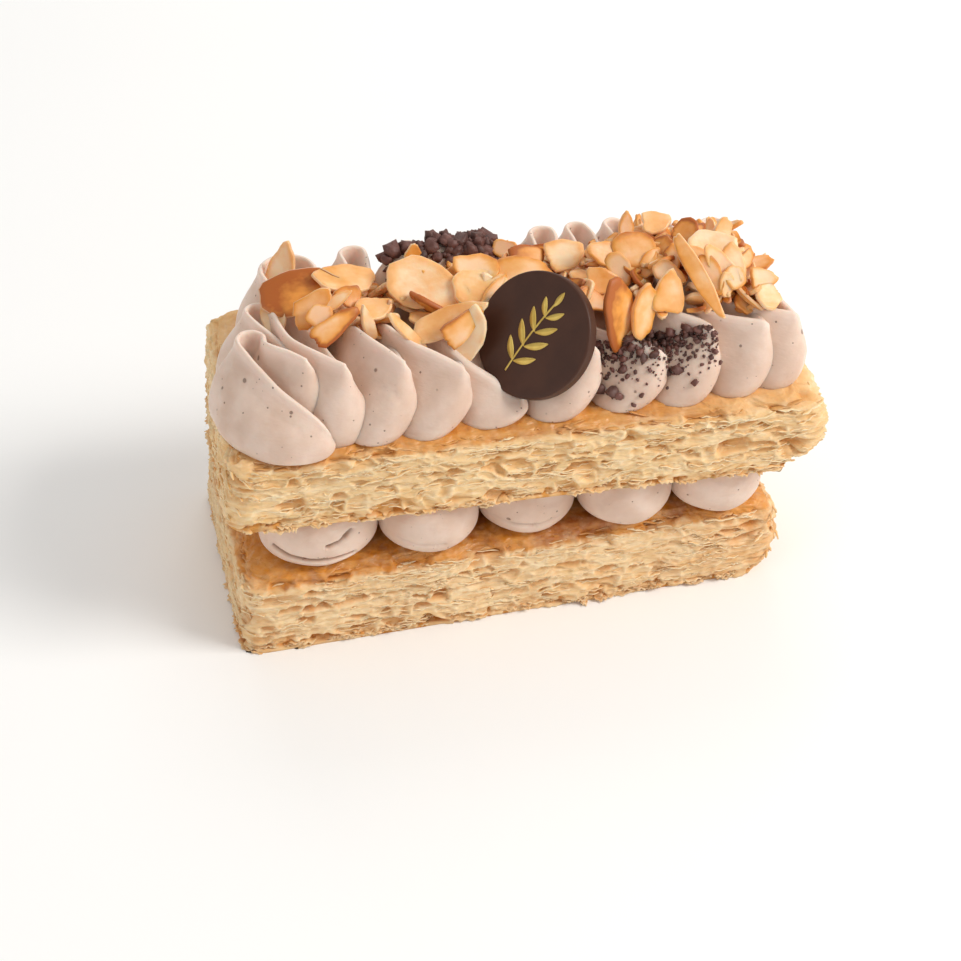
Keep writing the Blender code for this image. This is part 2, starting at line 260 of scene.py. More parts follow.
def addRange(tree, value, low, high, toLow=0.0, toHigh=1.0):
    # an S between low and high, from toLow to toHigh
    node = addNode(tree, "ShaderNodeMapRange", {"Value": value, "From Min": low, "From Max": high,
                                                "To Min": toLow, "To Max": toHigh})
    node.interpolation_type = "SMOOTHSTEP"
    return node.outputs["Result"]


def addMix(tree, share, first, second):
    # a blend of two colours, each a socket or three plain numbers
    node = addNode(tree, "ShaderNodeMix", {0: share}, data_type="RGBA", blend_type="MIX")
    for socket, value in ((6, first), (7, second)):
        fillInputs(tree, node, {socket: value if isinstance(value, bpy.types.NodeSocket) else (*value, 1.0)})
    return node.outputs[2]


def stretch(tree, spot, scale):
    # the same coordinates scaled by its own amount along each axis
    return addNode(tree, "ShaderNodeMapping", {"Vector": spot, "Scale": scale}).outputs["Vector"]


def makeMottleGroup():
    # soft cloudy noise, spread to the whole range from nought to one
    group, start, end = newGroup("mottle", [("Vector", "NodeSocketVector", None),
                                            ("Scale", "NodeSocketFloat", 100.0),
                                            ("Detail", "NodeSocketFloat", 3.0)],
                                 [("Value", "NodeSocketFloat")])
    noise = addNode(group, "ShaderNodeTexNoise", {"Vector": start.outputs["Vector"],
                                                  "Scale": start.outputs["Scale"],
                                                  "Detail": start.outputs["Detail"]})
    group.links.new(addRange(group, noise.outputs["Fac"], 0.3, 0.7), end.inputs["Value"])
    return group


def makeSpeckGroup():
    # round specks of uneven size in a share of the cells of a Voronoi pattern
    group, start, end = newGroup("specks", [("Vector", "NodeSocketVector", None),
                                            ("Scale", "NodeSocketFloat", 300.0),
                                            ("Share", "NodeSocketFloat", 0.2),
                                            ("Reach", "NodeSocketFloat", 0.25)],
                                 [("Mask", "NodeSocketFloat")])
    cells = addNode(group, "ShaderNodeTexVoronoi", {"Vector": start.outputs["Vector"],
                                                    "Scale": start.outputs["Scale"]})
    parts = addNode(group, "ShaderNodeSeparateColor", {"Color": cells.outputs["Color"]})
    chosen = addMath(group, "LESS_THAN", parts.outputs["Red"], start.outputs["Share"])
    size = times(group, parts.outputs["Green"], start.outputs["Reach"])
    soft = addRange(group, minus(group, size, cells.outputs["Distance"]), 0.0, 0.06)
    group.links.new(times(group, chosen, soft), end.inputs["Mask"])
    return group


def makeGrainGroup():
    # a coarse and a fine noise added up as a height for a bump
    group, start, end = newGroup("grain", [("Vector", "NodeSocketVector", None),
                                           ("Coarse", "NodeSocketFloat", 600.0),
                                           ("Fine", "NodeSocketFloat", 2500.0),
                                           ("Fine Share", "NodeSocketFloat", 0.5)],
                                 [("Height", "NodeSocketFloat")])
    coarse, fine = (addNode(group, "ShaderNodeTexNoise", {"Vector": start.outputs["Vector"],
                                                          "Scale": start.outputs[name], "Detail": 2.0})
                    for name in ("Coarse", "Fine"))
    fineHeight = times(group, fine.outputs["Fac"], start.outputs["Fine Share"])
    group.links.new(plus(group, coarse.outputs["Fac"], fineHeight), end.inputs["Height"])
    return group


mottleGroup = makeMottleGroup()
speckGroup = makeSpeckGroup()
grainGroup = makeGrainGroup()


def useGroup(tree, group, **values):
    node = tree.nodes.new("ShaderNodeGroup")
    node.node_tree = group
    fillInputs(tree, node, {socket.replace("_", " "): value for socket, value in values.items()})
    return node.outputs[0]


def startMaterial(name):
    # a node material with its shader and the Object coordinates
    material = bpy.data.materials.new(name)
    material.use_nodes = True
    tree = material.node_tree
    shader = tree.nodes["Principled BSDF"]
    spot = addNode(tree, "ShaderNodeTexCoord").outputs["Object"]
    return material, tree, shader, spot


def readMarks(tree, *names):
    # the numbers that the mesh carries under these names
    return [addNode(tree, "ShaderNodeAttribute", attribute_name=name).outputs["Fac"] for name in names]


def addBump(tree, shader, height, distance, strength=1.0):
    bump = addNode(tree, "ShaderNodeBump", {"Height": height, "Distance": distance, "Strength": strength})
    tree.links.new(bump.outputs["Normal"], shader.inputs["Normal"])


def softInside(shader, weight, radius, scale):
    fillInputs(None, shader, {"Subsurface Weight": weight, "Subsurface Radius": radius,
                              "Subsurface Scale": scale})


# the camera looks at the target from this side and height, in degrees, and this far off, in millimetres
view = {
    "target": (62.2, 47.2, 0.0),
    "azimuth": -12.91,
    "elevation": 38.37,
    "distance": 494.0,
    "lens": 76.32,
}


def makeCamera():
    # on the ray from the target at the view's azimuth and elevation, looking back along it
    turn, rise = math.radians(view["azimuth"]), math.radians(view["elevation"])
    back = Vector((math.sin(turn) * math.cos(rise), -math.cos(turn) * math.cos(rise), math.sin(rise)))
    data = bpy.data.cameras.new("camera")
    data.lens = view["lens"]
    data.sensor_width = 36.0
    data.clip_start = 0.01
    camera = bpy.data.objects.new("camera", data)
    scene.collection.objects.link(camera)
    camera.location = Vector(place(view["target"])) + back * view["distance"] * mm
    camera.rotation_mode = "QUATERNION"
    camera.rotation_quaternion = (-back).to_track_quat("-Z", "Y")
    scene.camera = camera


def makeLight(name, spot, size, watts, colour):
    # a square area light that looks at the origin
    data = bpy.data.lights.new(name, "AREA")
    data.shape = "SQUARE"
    data.size = size
    data.energy = watts
    data.color = colour
    light = bpy.data.objects.new(name, data)
    scene.collection.objects.link(light)
    light.location = spot
    light.rotation_mode = "QUATERNION"
    light.rotation_quaternion = (-Vector(spot)).to_track_quat("-Z", "Y")


studio = {
    "sky": {"Color": (1.0, 0.996, 0.988, 1.0), "Strength": 0.53},
    # place, size, watts and colour of each light; they all look at the origin
    "lights": {
        "keyLight": ((0.74, -0.36, 0.72), 0.45, 8.3, (1.0, 0.975, 0.935)),
        "fillLight": ((-0.95, -0.35, 0.28), 0.8, 1.6, (1.0, 0.97, 0.93)),
        "backLight": ((0.1, 0.8, 0.7), 0.7, 2.5, (1.0, 0.98, 0.95)),
    },
    "floorHalf": 3.0,
    "floorTones": ((0.945, 0.945, 0.94), (0.96, 0.96, 0.955)),
}


def makeStudio():
    # a pale sky, three soft lights and a wide pale floor
    world = bpy.data.worlds.new("studio")
    scene.world = world
    world.use_nodes = True
    fillInputs(world.node_tree, world.node_tree.nodes["Background"], studio["sky"])
    for name, (spot, size, watts, colour) in studio["lights"].items():
        makeLight(name, spot, size, watts, colour)
    material, tree, shader, spot = startMaterial("paleFloor")
    cloud = useGroup(tree, mottleGroup, Vector=spot, Scale=3.0, Detail=2.0)
    fillInputs(tree, shader, {"Base Color": addMix(tree, cloud, *studio["floorTones"]),
                              "Roughness": 0.9, "Specular IOR Level": 0.1})
    half = studio["floorHalf"]
    mesh = bpy.data.meshes.new("floor")
    mesh.from_pydata([(-half, -half, 0.0), (half, -half, 0.0), (half, half, 0.0), (-half, half, 0.0)],
                     [], [(0, 1, 2, 3)])
    mesh.materials.append(material)
    floor = bpy.data.objects.new("floor", mesh)
    scene.collection.objects.link(floor)
    scene.view_settings.view_transform = "Standard"


# Each slab, in millimetres and degrees. The right end bulges and is undercut; the left end and the front
# flare out towards the bottom, the front's lower edge sags, and the back left corner is cut back. pockets
# deepens the open cells. crustEdge is how far in from the edge the crust is fully baked, crustReach how
# far up the rim it begins; rimCrust, tipCrust and scorch brown the rim, the right end and the middle of
# the top, and paleEnd and paleLeft take the crust's colour off towards the right and the left end.
slabs = {
    "lower_pastry": {
        "length": 117.0, "depth": 62.0, "height": 19.5, "middle": (58.2, 31.0), "base": 0.0,
        "turn": 1.0, "bulge": 4.4, "undercut": 1.5, "leftFlare": 3.0, "frontFlare": 1.4, "seed": 11,
        "pockets": 0.8, "upperRim": 3.2, "sag": 0.0, "backCut": 1.0, "scorch": 0.7,
        "crustEdge": -1.2, "crustReach": (0.0, 0.3), "rimCrust": 0.75, "tipCrust": 0.42,
        "paleEnd": 0.0, "paleLeft": 0.0,
    },
    "upper_pastry": {
        "length": 124.0, "depth": 62.0, "height": 17.0, "middle": (62.6, 28.8), "base": 33.5,
        "turn": -2.0, "bulge": 5.0, "undercut": 3.4, "leftFlare": 2.8, "frontFlare": 1.2, "seed": 23,
        "pockets": 0.84, "upperRim": 2.6, "sag": 0.4, "backCut": 1.0, "scorch": 0.0,
        "crustEdge": -0.3, "crustReach": (0.1, 0.55), "rimCrust": 0.35, "tipCrust": 0.14,
        "paleEnd": 0.5, "paleLeft": 0.75,
    },
}
# the grid's steps along each side, its corners' radius and steps, and its rows up the wall and rims
slabGrid = {"front": 0.34, "right": 0.38, "back": 0.9, "left": 0.44, "corner": 4.0, "cornerSteps": 12,
            "wallRows": 70, "rim": 0.7, "rimRows": 3}


def slabLoop(halfLength, halfDepth):
    # straight runs at each side's own step, joined by quarter circles, front first; with outward normals
    corner = slabGrid["corner"]
    inX, inY = halfLength - corner, halfDepth - corner
    turns = [((inX, -inY), (-inX, -halfDepth), (inX, -halfDepth), "front"),
             ((inX, inY), (halfLength, -inY), (halfLength, inY), "right"),
             ((-inX, inY), (inX, halfDepth), (-inX, halfDepth), "back"),
             ((-inX, -inY), (-halfLength, inY), (-halfLength, -inY), "left")]
    spots, normals = [], []
    for number, (centre, start, end, side) in enumerate(turns):
        start, end = np.array(start), np.array(end)
        steps = max(2, int(np.linalg.norm(end - start) / slabGrid[side]))
        share = np.linspace(0.0, 1.0, steps, endpoint=False)[:, None]
        outward = np.array((math.sin(number * math.pi / 2), -math.cos(number * math.pi / 2)))
        spots.append(start + (end - start) * share)
        normals.append(np.tile(outward, (steps, 1)))
        steps = np.linspace(0.0, 1.0, slabGrid["cornerSteps"], endpoint=False)
        angle = -math.pi / 2 + (number + steps) * math.pi / 2
        ring = np.column_stack((np.cos(angle), np.sin(angle)))
        spots.append(np.array(centre) + corner * ring)
        normals.append(ring)
    return np.vstack(spots), np.vstack(normals)


def slabProfile(halfDepth, height, upperRim):
    # from the middle of the underside, round the lower rim, up the wall, round the upper rim and in over
    # the top: how far in from the edge, how high, and how the surface leans, from down (-90) to up (90)
    rim, rimRows = slabGrid["rim"], slabGrid["rimRows"]
    far = halfDepth * 0.985
    under = np.geomspace(far, rim, 8)[:-1]
    over = np.concatenate((np.arange(upperRim, 8.5, 0.42), np.geomspace(8.5, far, 7)))
    lean = np.linspace(0.0, math.pi / 2, rimRows + 1)
    wall = np.linspace(rim, height - upperRim, slabGrid["wallRows"])
    turnRows = np.linspace(0.0, math.pi / 2, int(rimRows * upperRim / rim * 1.2) + 1)[1:]
    inset = np.concatenate((under, rim - rim * np.sin(lean[:-1]), np.zeros(len(wall)),
                            upperRim - upperRim * np.cos(turnRows), over[1:]))
    level = np.concatenate((np.zeros(len(under)), rim - rim * np.cos(lean[:-1]), wall,
                            height - upperRim + upperRim * np.sin(turnRows),
                            np.full(len(over) - 1, height)))
    tilt = np.concatenate((np.full(len(under), -math.pi / 2), lean[:-1] - math.pi / 2, np.zeros(len(wall)),
                           turnRows, np.full(len(over) - 1, math.pi / 2)))
    return inset, level, tilt


# cells of the cut crumb, coarse to fine: length and height of a cell, depth, share of cells that are open
crumbCells = ((8.0, 3.2, 3.8, 0.42), (4.8, 2.0, 2.0, 0.45), (2.6, 1.15, 0.35, 0.6))


def leafRelief(spots, slab):
    # flattened cells between thin walls, three sizes over one another, waved together by a slow drift:
    # inside a cell the surface sinks by its depth times its own chance number, most under its upper wall
    seed = slab["seed"]
    wave = np.stack([layeredNoise(spots, (13.0, 13.0, 7.0), seed + k, 3) for k in range(3)], -1)
    bent = spots + wave * (1.4, 1.4, 1.9)
    sunk, recessShade, wall = 0.0, 0.0, 0.0
    for number, (length, height, depth, openShare) in enumerate(crumbCells):
        edge, chance, above = cellNoise(bent, (length, length, height), seed + 10 + number)
        inside = smoothStep(0.03, 0.3, edge)
        own = smoothStep(1.0 - openShare, 1.0, chance)
        hollow = inside * own * (0.45 + 0.55 * smoothStep(-0.35, 0.35, above))
        sunk = sunk + depth * hollow
        # the open cells also add up how much painted shade the material puts in them, most in the coarse
        # cells
        recessShade = recessShade + hollow * (0.9, 0.6, 0.3)[number]
        wall = wall + (1.0 - smoothStep(0.0, 0.16, edge)) * (0.35, 0.4, 0.1)[number]
    torn = 0.75 + 0.5 * layeredNoise(bent, (3.4, 3.4, 1.1), seed + 20, 2)
    strata = layeredNoise(bent, (7.5, 7.5, 0.6), seed + 25, 2)
    relief = 0.5 * wall * torn - slab["pockets"] * sunk + 0.14 * strata
    return relief, np.clip(recessShade, 0.0, 1.2), np.clip(wall * torn, 0.0, 1.0)


def slabSkin(slab):
    # the slab before its crumb: the profile carried round the loop, with its outward normals; each point's
    # share of the height, its distance in from the edge, and how much it belongs to the wall and to the top
    halfLength, halfDepth = slab["length"] / 2, slab["depth"] / 2
    ring, outward = slabLoop(halfLength, halfDepth)
    inset, level, tilt = slabProfile(halfDepth, slab["height"], slab["upperRim"])
    shrink = np.stack((1.0 - inset / halfLength, 1.0 - inset / halfDepth), -1)
    plan = ring[None] * shrink[:, None]
    wide = plan.shape[:2]
    spots = np.concatenate((plan, np.broadcast_to(level[:, None, None], wide + (1,))), -1)
    normals = np.concatenate((outward[None] * np.cos(tilt)[:, None, None],
                              np.broadcast_to(np.sin(tilt)[:, None, None], wide + (1,))), -1)
    return {"ring": ring, "plan": plan, "spots": spots, "normals": normals,
            "share": np.broadcast_to((level / slab["height"])[:, None], wide),
            "edge": np.broadcast_to(inset[:, None], wide),
            "wallness": np.cos(tilt)[:, None], "topness": np.clip(np.sin(tilt), 0.0, 1.0)[:, None]}


def wallCrumb(skin, slab):
    # how far the wall stands out: cells and leaves, fine crumb and a slow swell, a ragged lowest rim, and
    # lips torn outwards, most on the right end
    spots, share, seed = skin["spots"], skin["share"], slab["seed"]
    relief, recessShade, lip = leafRelief(spots, slab)
    crumb = layeredNoise(spots, 1.4, seed + 30, 3)
    lowZone = 1.0 - smoothStep(0.08, 0.17, share + 0.03 * crumb)
    holes = smoothStep(0.25, 0.5, layeredNoise(spots, (1.9, 1.9, 1.3), seed + 40, 2))
    rightness = np.clip(skin["normals"][..., 0], 0.0, 1.0) ** 2
    side = relief + 0.12 * crumb + 0.7 * layeredNoise(spots, (16.0, 16.0, 30.0), seed + 50, 2)
    side = side - lowZone * (0.9 * holes + 0.3 + 0.4 * crumb) * (share > 0.001)
    side = side + (0.3 + rightness) * 0.9 * lip * (0.3 + valueNoise(spots, (1.1, 1.1, 0.6), seed + 60))
    return side, recessShade, lip, crumb, lowZone, holes


# flaky steps of the top crust: how far each drops, and between which distances from the torn edge
crustSteps = ((0.45, 1.9, 2.2), (0.5, 0.5, 0.8), (0.35, 4.0, 4.3))


def topCrust(skin, slab):
    # how far the top stands up: a slow swell, less its flaky steps and fine blisters
    spots, seed = skin["spots"], slab["seed"]
    swell = 0.45 * layeredNoise(spots, (30.0, 22.0, 9.0), seed + 70, 2)
    torn = skin["edge"] + 2.6 * layeredNoise(spots, (7.0, 7.0, 9.0), seed + 75, 3)
    steps = sum(drop * (1.0 - smoothStep(low, high, torn)) for drop, low, high in crustSteps)
    blister = 0.3 * np.abs(layeredNoise(spots, (3.2, 3.2, 9.0), seed + 80, 3))
    return swell - steps - blister, torn, blister


def bendSlab(spots, skin, slab):
    # the slab's own form, as the notes on the slabs say: powers of the way to each end make it local
    ring, plan, share = skin["ring"], skin["plan"], skin["share"]
    halfLength, halfDepth = slab["length"] / 2, slab["depth"] / 2
    bulge = slab["bulge"] * np.sin(np.pi * np.clip(share, 0.0, 1.0)) ** 0.7
    reach = bulge - slab["undercut"] * (1.0 - share) ** 2
    spots[..., 0] += reach * np.clip(ring[:, 0] / halfLength, 0.0, 1.0)[None] ** 6
    backLeft = smoothStep(0.55, 1.0, -plan[..., 0] / halfLength)
    backLeft = backLeft * smoothStep(0.5, 1.0, plan[..., 1] / halfDepth)
    spots[..., :2] += (slab["backCut"] * backLeft)[..., None] * (0.75, -0.65)
    lowness = np.clip(1.0 - share, 0.0, 1.0) ** 1.5
    leftness = np.clip(-ring[:, 0] / halfLength, 0.0, 1.0)[None] ** 8
    spots[..., 0] -= slab["leftFlare"] * leftness * (0.35 + 0.65 * lowness)
    frontness = np.clip(-ring[:, 1] / halfDepth, 0.0, 1.0)[None] ** 8
    spots[..., 1] -= slab["frontFlare"] * frontness * lowness
    spots[..., 2] -= slab["sag"] * frontness * lowness * smoothStep(-0.6, 0.4, spots[..., 0] / halfLength)


def crustMark(skin, slab, torn, crumb, lowZone):
    # how brown each point is: the top, the upper rim, the lowest millimetres and the right end
    topness, along = skin["topness"], skin["plan"][..., 0] + 3.0 * crumb
    baked = smoothStep(slab["crustEdge"], slab["crustEdge"] + 1.4, torn)
    crust = smoothStep(*slab["crustReach"], topness + 0.12 * crumb) * (0.85 + 0.15 * crumb)
    crust = crust * (0.5 + 0.5 * baked)
    rim = smoothStep(0.86, 0.97, skin["share"] + 0.03 * crumb)
    crust = np.maximum(crust, slab["rimCrust"] * rim * skin["wallness"])
    crust *= 1.0 - slab["paleEnd"] * smoothStep(22.0, 52.0, along)
    crust *= 1.0 - slab["paleLeft"] * (1.0 - smoothStep(-60.0, -50.0, along))
    crust = np.maximum(crust, 0.34 * lowZone * (0.7 + 0.5 * crumb))
    tip = smoothStep(24.0, 58.0, along) * (0.8 + 0.5 * crumb)
    return np.clip(np.maximum(crust, slab["tipCrust"] * tip), 0.0, 1.0)


def makeSlab(name):
    # the skin pushed out along its normals, bent, turned in plan and set at its height
    slab = slabs[name]
    skin = slabSkin(slab)
    side, recessShade, lip, crumb, lowZone, holes = wallCrumb(skin, slab)
    over, torn, blister = topCrust(skin, slab)
    wallness, topness, along = skin["wallness"], skin["topness"], skin["plan"][..., 0]
    move = wallness * side + topness * over
    spots = skin["spots"] + skin["normals"] * move[..., None]
    bendSlab(spots, skin, slab)

    # painted shade: in the wall's open cells, in the holes of the ragged lowest rim and in the top's blisters
    recessShade = np.clip(recessShade * wallness + lowZone * holes * 0.9 + topness * blister * 0.6, 0.0, 1.5)
    scorched = smoothStep(-24.0, -8.0, along) * (1.0 - smoothStep(36.0, 46.0, along))
    marks = {
        "crust": np.append(crustMark(skin, slab, torn, crumb, lowZone), (0.5, 0.8)),
        "recessShade": np.append(recessShade, (0.0, 0.0)),
        # lip also carries the painted highlight on the walls' lips
        "lip": np.append(np.clip(lip * wallness, 0.0, 1.0), (0.0, 0.0)),
        "topFace": np.append(np.broadcast_to(topness, recessShade.shape), (0.0, 1.0)),
        "scorch": np.append(slab["scorch"] * scorched * topness, (0.0, 0.0)),
    }
    turn = math.radians(slab["turn"])
    turned = np.array(((math.cos(turn), math.sin(turn)), (-math.sin(turn), math.cos(turn))))
    rows = spots.copy()
    rows[..., :2] = spots[..., :2] @ turned + np.array(slab["middle"])
    rows[..., 2] = np.maximum(rows[..., 2], 0.0) + slab["base"]
    low = np.array((*slab["middle"], slab["base"]))
    points, faces = closedRows(rows, low, low + (0.0, 0.0, slab["height"]))
    return addPiece(name + "_leaves", points, faces, pastryMaterials[name], (name,), marks)


# in each look, hollow is the colour of the painted shade in the cells, holes and dents
pastryLooks = {
    "lower_pastry": {"crumb": (0.88, 0.665, 0.40), "warm": (0.80, 0.48, 0.19), "hollow": (0.70, 0.29, 0.055),
                     "golden": (0.68, 0.26, 0.022), "burnt": (0.38, 0.095, 0.006), "gloss": 0.18},
    "upper_pastry": {"crumb": (0.88, 0.65, 0.37), "warm": (0.81, 0.48, 0.175), "hollow": (0.72, 0.33, 0.065),
                     "golden": (0.69, 0.285, 0.048), "burnt": (0.50, 0.155, 0.02), "gloss": 0.28},
}
# the painted highlight on the cell walls' lips, the torn leaves' outer edges and the pale flecks
lipHighlight = (0.95, 0.77, 0.51)


def makePastryMaterial(name):
    # pale layered crumb on the cut sides, browned crust on the top and the rims
    look = pastryLooks[name]
    material, tree, shader, spot = startMaterial(name + "_baked")
    crust, recessShade, lip, top, scorch = readMarks(tree, "crust", "recessShade", "lip", "topFace", "scorch")
    cloud = useGroup(tree, mottleGroup, Vector=spot, Scale=90.0, Detail=4.0)
    fine = useGroup(tree, mottleGroup, Vector=spot, Scale=420.0, Detail=3.0)
    drawn = stretch(tree, spot, (0.35, 0.35, 1.9))
    strand = useGroup(tree, mottleGroup, Vector=drawn, Scale=620.0, Detail=4.0)

    # the cut side: pale crumb and warm strands, with painted shade in the cells and a painted highlight on
    # the cell walls' lips and in pale flecks, which are partly painted glints
    mixed = plus(tree, times(tree, cloud, 0.4), times(tree, strand, 0.4))
    wall = addMix(tree, mixed, look["crumb"], look["warm"])
    # painted shade in the cells, holes and dents, in the hollow colour
    wall = addMix(tree, times(tree, recessShade, 1.15, True), wall, look["hollow"])
    # painted highlight: pale on the lips, and pale flecks, partly the crumb's own and partly painted glints
    # of fat, kept out of the cells
    flecksAndGlints = times(tree, addRange(tree, strand, 0.0, 0.3, 0.35, 0.0),
                   addRange(tree, recessShade, 0.1, 0.4, 1.0, 0.0))
    wall = addMix(tree, plus(tree, times(tree, lip, 0.7), flecksAndGlints, True), wall, lipHighlight)

    # the crust: golden to burnt in clouds, with the scorched stretch darkest
    char = times(tree, addRange(tree, cloud, 0.2, 0.8), scorch)
    browned = plus(tree, times(tree, cloud, fine), char, True)
    baked = addMix(tree, browned, look["golden"], look["burnt"])
    colour = addMix(tree, times(tree, crust, 1.0, True), wall, baked)
    colour = addMix(tree, times(tree, addRange(tree, fine, 0.6, 1.0), 0.12), colour, look["crumb"])
    rough = addRange(tree, times(tree, crust, top), 0.3, 0.9, 0.66, look["gloss"])
    fillInputs(tree, shader, {"Base Color": colour, "Roughness": rough})
    height = useGroup(tree, grainGroup, Vector=drawn, Coarse=700.0, Fine=2400.0, Fine_Share=0.5)
    addBump(tree, shader, height, 0.0005, 0.75)
    softInside(shader, 0.15, (1.0, 0.6, 0.3), 0.0012)
    return material


leafBands = (
    # slab, how many, low and high share of its height, length range, sticking out, how far they droop
    ("upper_pastry", 120, (0.0, 0.09), (1.5, 5.5), 1.0, -0.25),
    ("upper_pastry", 110, (0.84, 0.97), (2.5, 8.0), 0.6, 0.1),
    ("upper_pastry", 420, (0.08, 0.88), (1.6, 6.5), 0.42, 0.0),
    ("lower_pastry", 130, (0.02, 0.11), (1.5, 5.0), 1.0, -0.1),
    ("lower_pastry", 110, (0.8, 0.95), (2.5, 8.0), 0.6, 0.1),
    ("lower_pastry", 420, (0.1, 0.86), (1.6, 6.5), 0.42, 0.0),
)


def leafSheets(middles, outward, lengths, reaches, droops, seed):
    # thin curled sheets all at once: a grid over each sheet, its outer edge uneven, waved along its length
    # and bent up or down on its way out, closed with an underside a fifth of a millimetre lower
    rng = np.random.default_rng(seed)
    count, long, wide = len(middles), 11, 4
    along = np.linspace(-0.5, 0.5, long)[None, :, None]
    out = np.linspace(-0.8, 1.0, wide)[None, None, :]
    phase = rng.uniform(0.0, math.tau, (count, 4, 1, 1))
    taper = (1.0 - (2.0 * np.abs(along)) ** 3.0) * (0.72 + 0.28 * np.sin(along * 17.0 + phase[:, 0]))
    outer = np.where(out > 0.0, out * taper, out) * reaches[:, None, None]
    curl = droops[:, None, None] * outer * np.abs(outer) * 0.6 + 0.16 * np.sin(along * 9.0 + phase[:, 1])
    curl = curl + 0.22 * rng.normal(size=(count, 1, 1)) * np.clip(outer, 0.0, 9.0)
    tilt = rng.normal(0.0, 0.14, (count, 1, 1)) * along * lengths[:, None, None]
    level = np.column_stack((-outward[:, 1], outward[:, 0], np.zeros(count)))
    top = (middles[:, None, None] + (along * lengths[:, None, None])[..., None] * level[:, None, None]
           + outer[..., None] * outward[:, None, None] + (curl + tilt)[..., None] * (0.0, 0.0, 1.0))
    under = top - (0.0, 0.0, 0.2)
    points = np.stack((top, under), 1).reshape(count, -1, 3)
    sheet = gridFaces(long, wide, wrap=False)
    ring = np.concatenate((np.arange(wide), np.arange(1, long) * wide + wide - 1,
                           (long - 1) * wide + np.arange(wide - 2, -1, -1),
                           np.arange(long - 2, 0, -1) * wide))
    after = np.roll(ring, -1)
    total = long * wide
    rim = np.stack((ring, after, after + total, ring + total), -1)
    quads = np.vstack((sheet[:, ::-1], sheet + total, rim))
    offset = np.arange(count)[:, None, None] * total * 2
    fade = np.broadcast_to(np.clip(out, 0.0, 1.0), (count, long, wide)).reshape(count, -1)
    faces = [(quads[None] + offset).reshape(-1, 4)]
    return points.reshape(-1, 3), faces, np.tile(fade, (1, 2)), rng.uniform(size=count)


def leafStarts(tree, name, rng):
    # where a level line from outside meets the slab, with each leaf's way out, sizes and browning
    slab = slabs[name]
    ring, outward = slabLoop(slab["length"] / 2, slab["depth"] / 2)
    atBack = ring[:, 1] > slab["depth"] / 2 - 3.0
    backLeft = (ring[:, 1] > slab["depth"] / 2 - 9.0) & (ring[:, 0] < 9.0 - slab["length"] / 2)
    weight = np.where(atBack, 0.5, 1.0) * np.where(backLeft, 0.0, 1.0)
    rows = []
    for slabName, count, (low, high), size, reach, droop in leafBands:
        if slabName != name:
            continue
        pick = rng.choice(len(ring), count, p=weight / weight.sum())
        share = rng.uniform(low, high, count)
        level = slab["base"] + share * slab["height"]
        start = np.column_stack((ring[pick] + np.array(slab["middle"]), level))
        away = np.column_stack((outward[pick], np.zeros(count)))
        for spot, way, tall in zip(start, away, share):
            hit, _, found = dropDown(tree, spot, -way, 30.0)
            if found[0]:
                brown = 0.35 if tall < 0.1 else 0.75 if tall > 0.9 else 0.06
                rows.append((*hit[0], *way, rng.uniform(*size), reach * rng.uniform(0.5, 1.25), droop, brown))
    return np.array(rows)


def makeLeaves(tree):
    # torn leaves that stand out of the slabs' sides
    rng = np.random.default_rng(77)
    for name in slabs:
        rows = leafStarts(tree, name, rng)
        seed = slabs[name]["seed"] + 90
        points, faces, fade, own = leafSheets(rows[:, :3], rows[:, 3:6], *rows[:, 6:9].T, seed)
        points[:, 2] = np.maximum(points[:, 2], 0.05)
        brown = np.clip(rows[:, 9:] + 0.3 * (own[:, None] - 0.5), 0.0, 1.0) * np.ones_like(fade)
        # painted shade towards each leaf's root against the slab, a painted highlight towards its outer edge
        marks = {"crust": brown, "recessShade": 0.25 * (1.0 - fade), "lip": fade, "topFace": 0.6 * brown,
                 "scorch": 0.0 * brown}
        addPiece(name + "_torn_leaves", points, faces, pastryMaterials[name], (), marks,
                 turnOut=False)


fillings = {
    # each finger: left and right side and the front of its foot
    "fingers": ((4.6, 30.2, -0.5), (30.6, 52.4, -1.6), (53.0, 74.6, 0.2), (75.0, 96.2, -2.0),
                (96.2, 117.0, -2.1)),
    "back": 57.5,
    "capDepth": 9.5,
    "overlap": 0.2,
    "around": 220,
}

# creases pressed into the fingers: points along each, its half-width and its depth
creases = (
    (((7.0, 3.3, 25.4), (10.0, 1.2, 23.8), (14.0, -0.1, 22.8), (18.0, -0.4, 22.4), (23.5, 0.7, 22.6)),
     0.5, 1.3),
    (((18.0, -0.5, 26.2), (20.6, -0.5, 27.0), (22.4, -0.5, 28.0)), 0.45, 1.9),
    (((21.8, -0.6, 27.8), (23.4, -0.4, 29.0)), 0.6, 2.4),
    (((23.4, -1.0, 29.0), (25.0, -0.4, 31.2)), 0.5, 0.9),
    (((55.6, 4.0, 25.4), (59.5, 1.0, 23.9), (65.0, 0.2, 23.2), (70.5, 1.0, 24.0)), 0.5, 0.6),
    (((77.0, 3.0, 25.4), (81.0, 0.0, 23.8)), 0.5, 0.5),
    (((33.5, 1.0, 25.0), (37.5, -1.4, 23.6), (43.0, -1.8, 23.2)), 0.45, 0.4),
)


def creaseDepth(points, lines):
    # how deep the nearest creases press at each point: a bell-shaped groove round each straight piece
    depth = np.zeros(points.shape[:-1])
    for line, halfWidth, deep in lines:
        for start, end in zip(np.array(line), np.array(line[1:])):
            along = end - start
            share = np.clip(((points - start) @ along) / (along @ along), 0.0, 1.0)
            away = np.linalg.norm((points - start - share[..., None] * along) * (1.0, 0.5, 1.0), axis=-1)
            depth = np.maximum(depth, deep * np.exp(-(away / halfWidth) ** 2))
    return depth


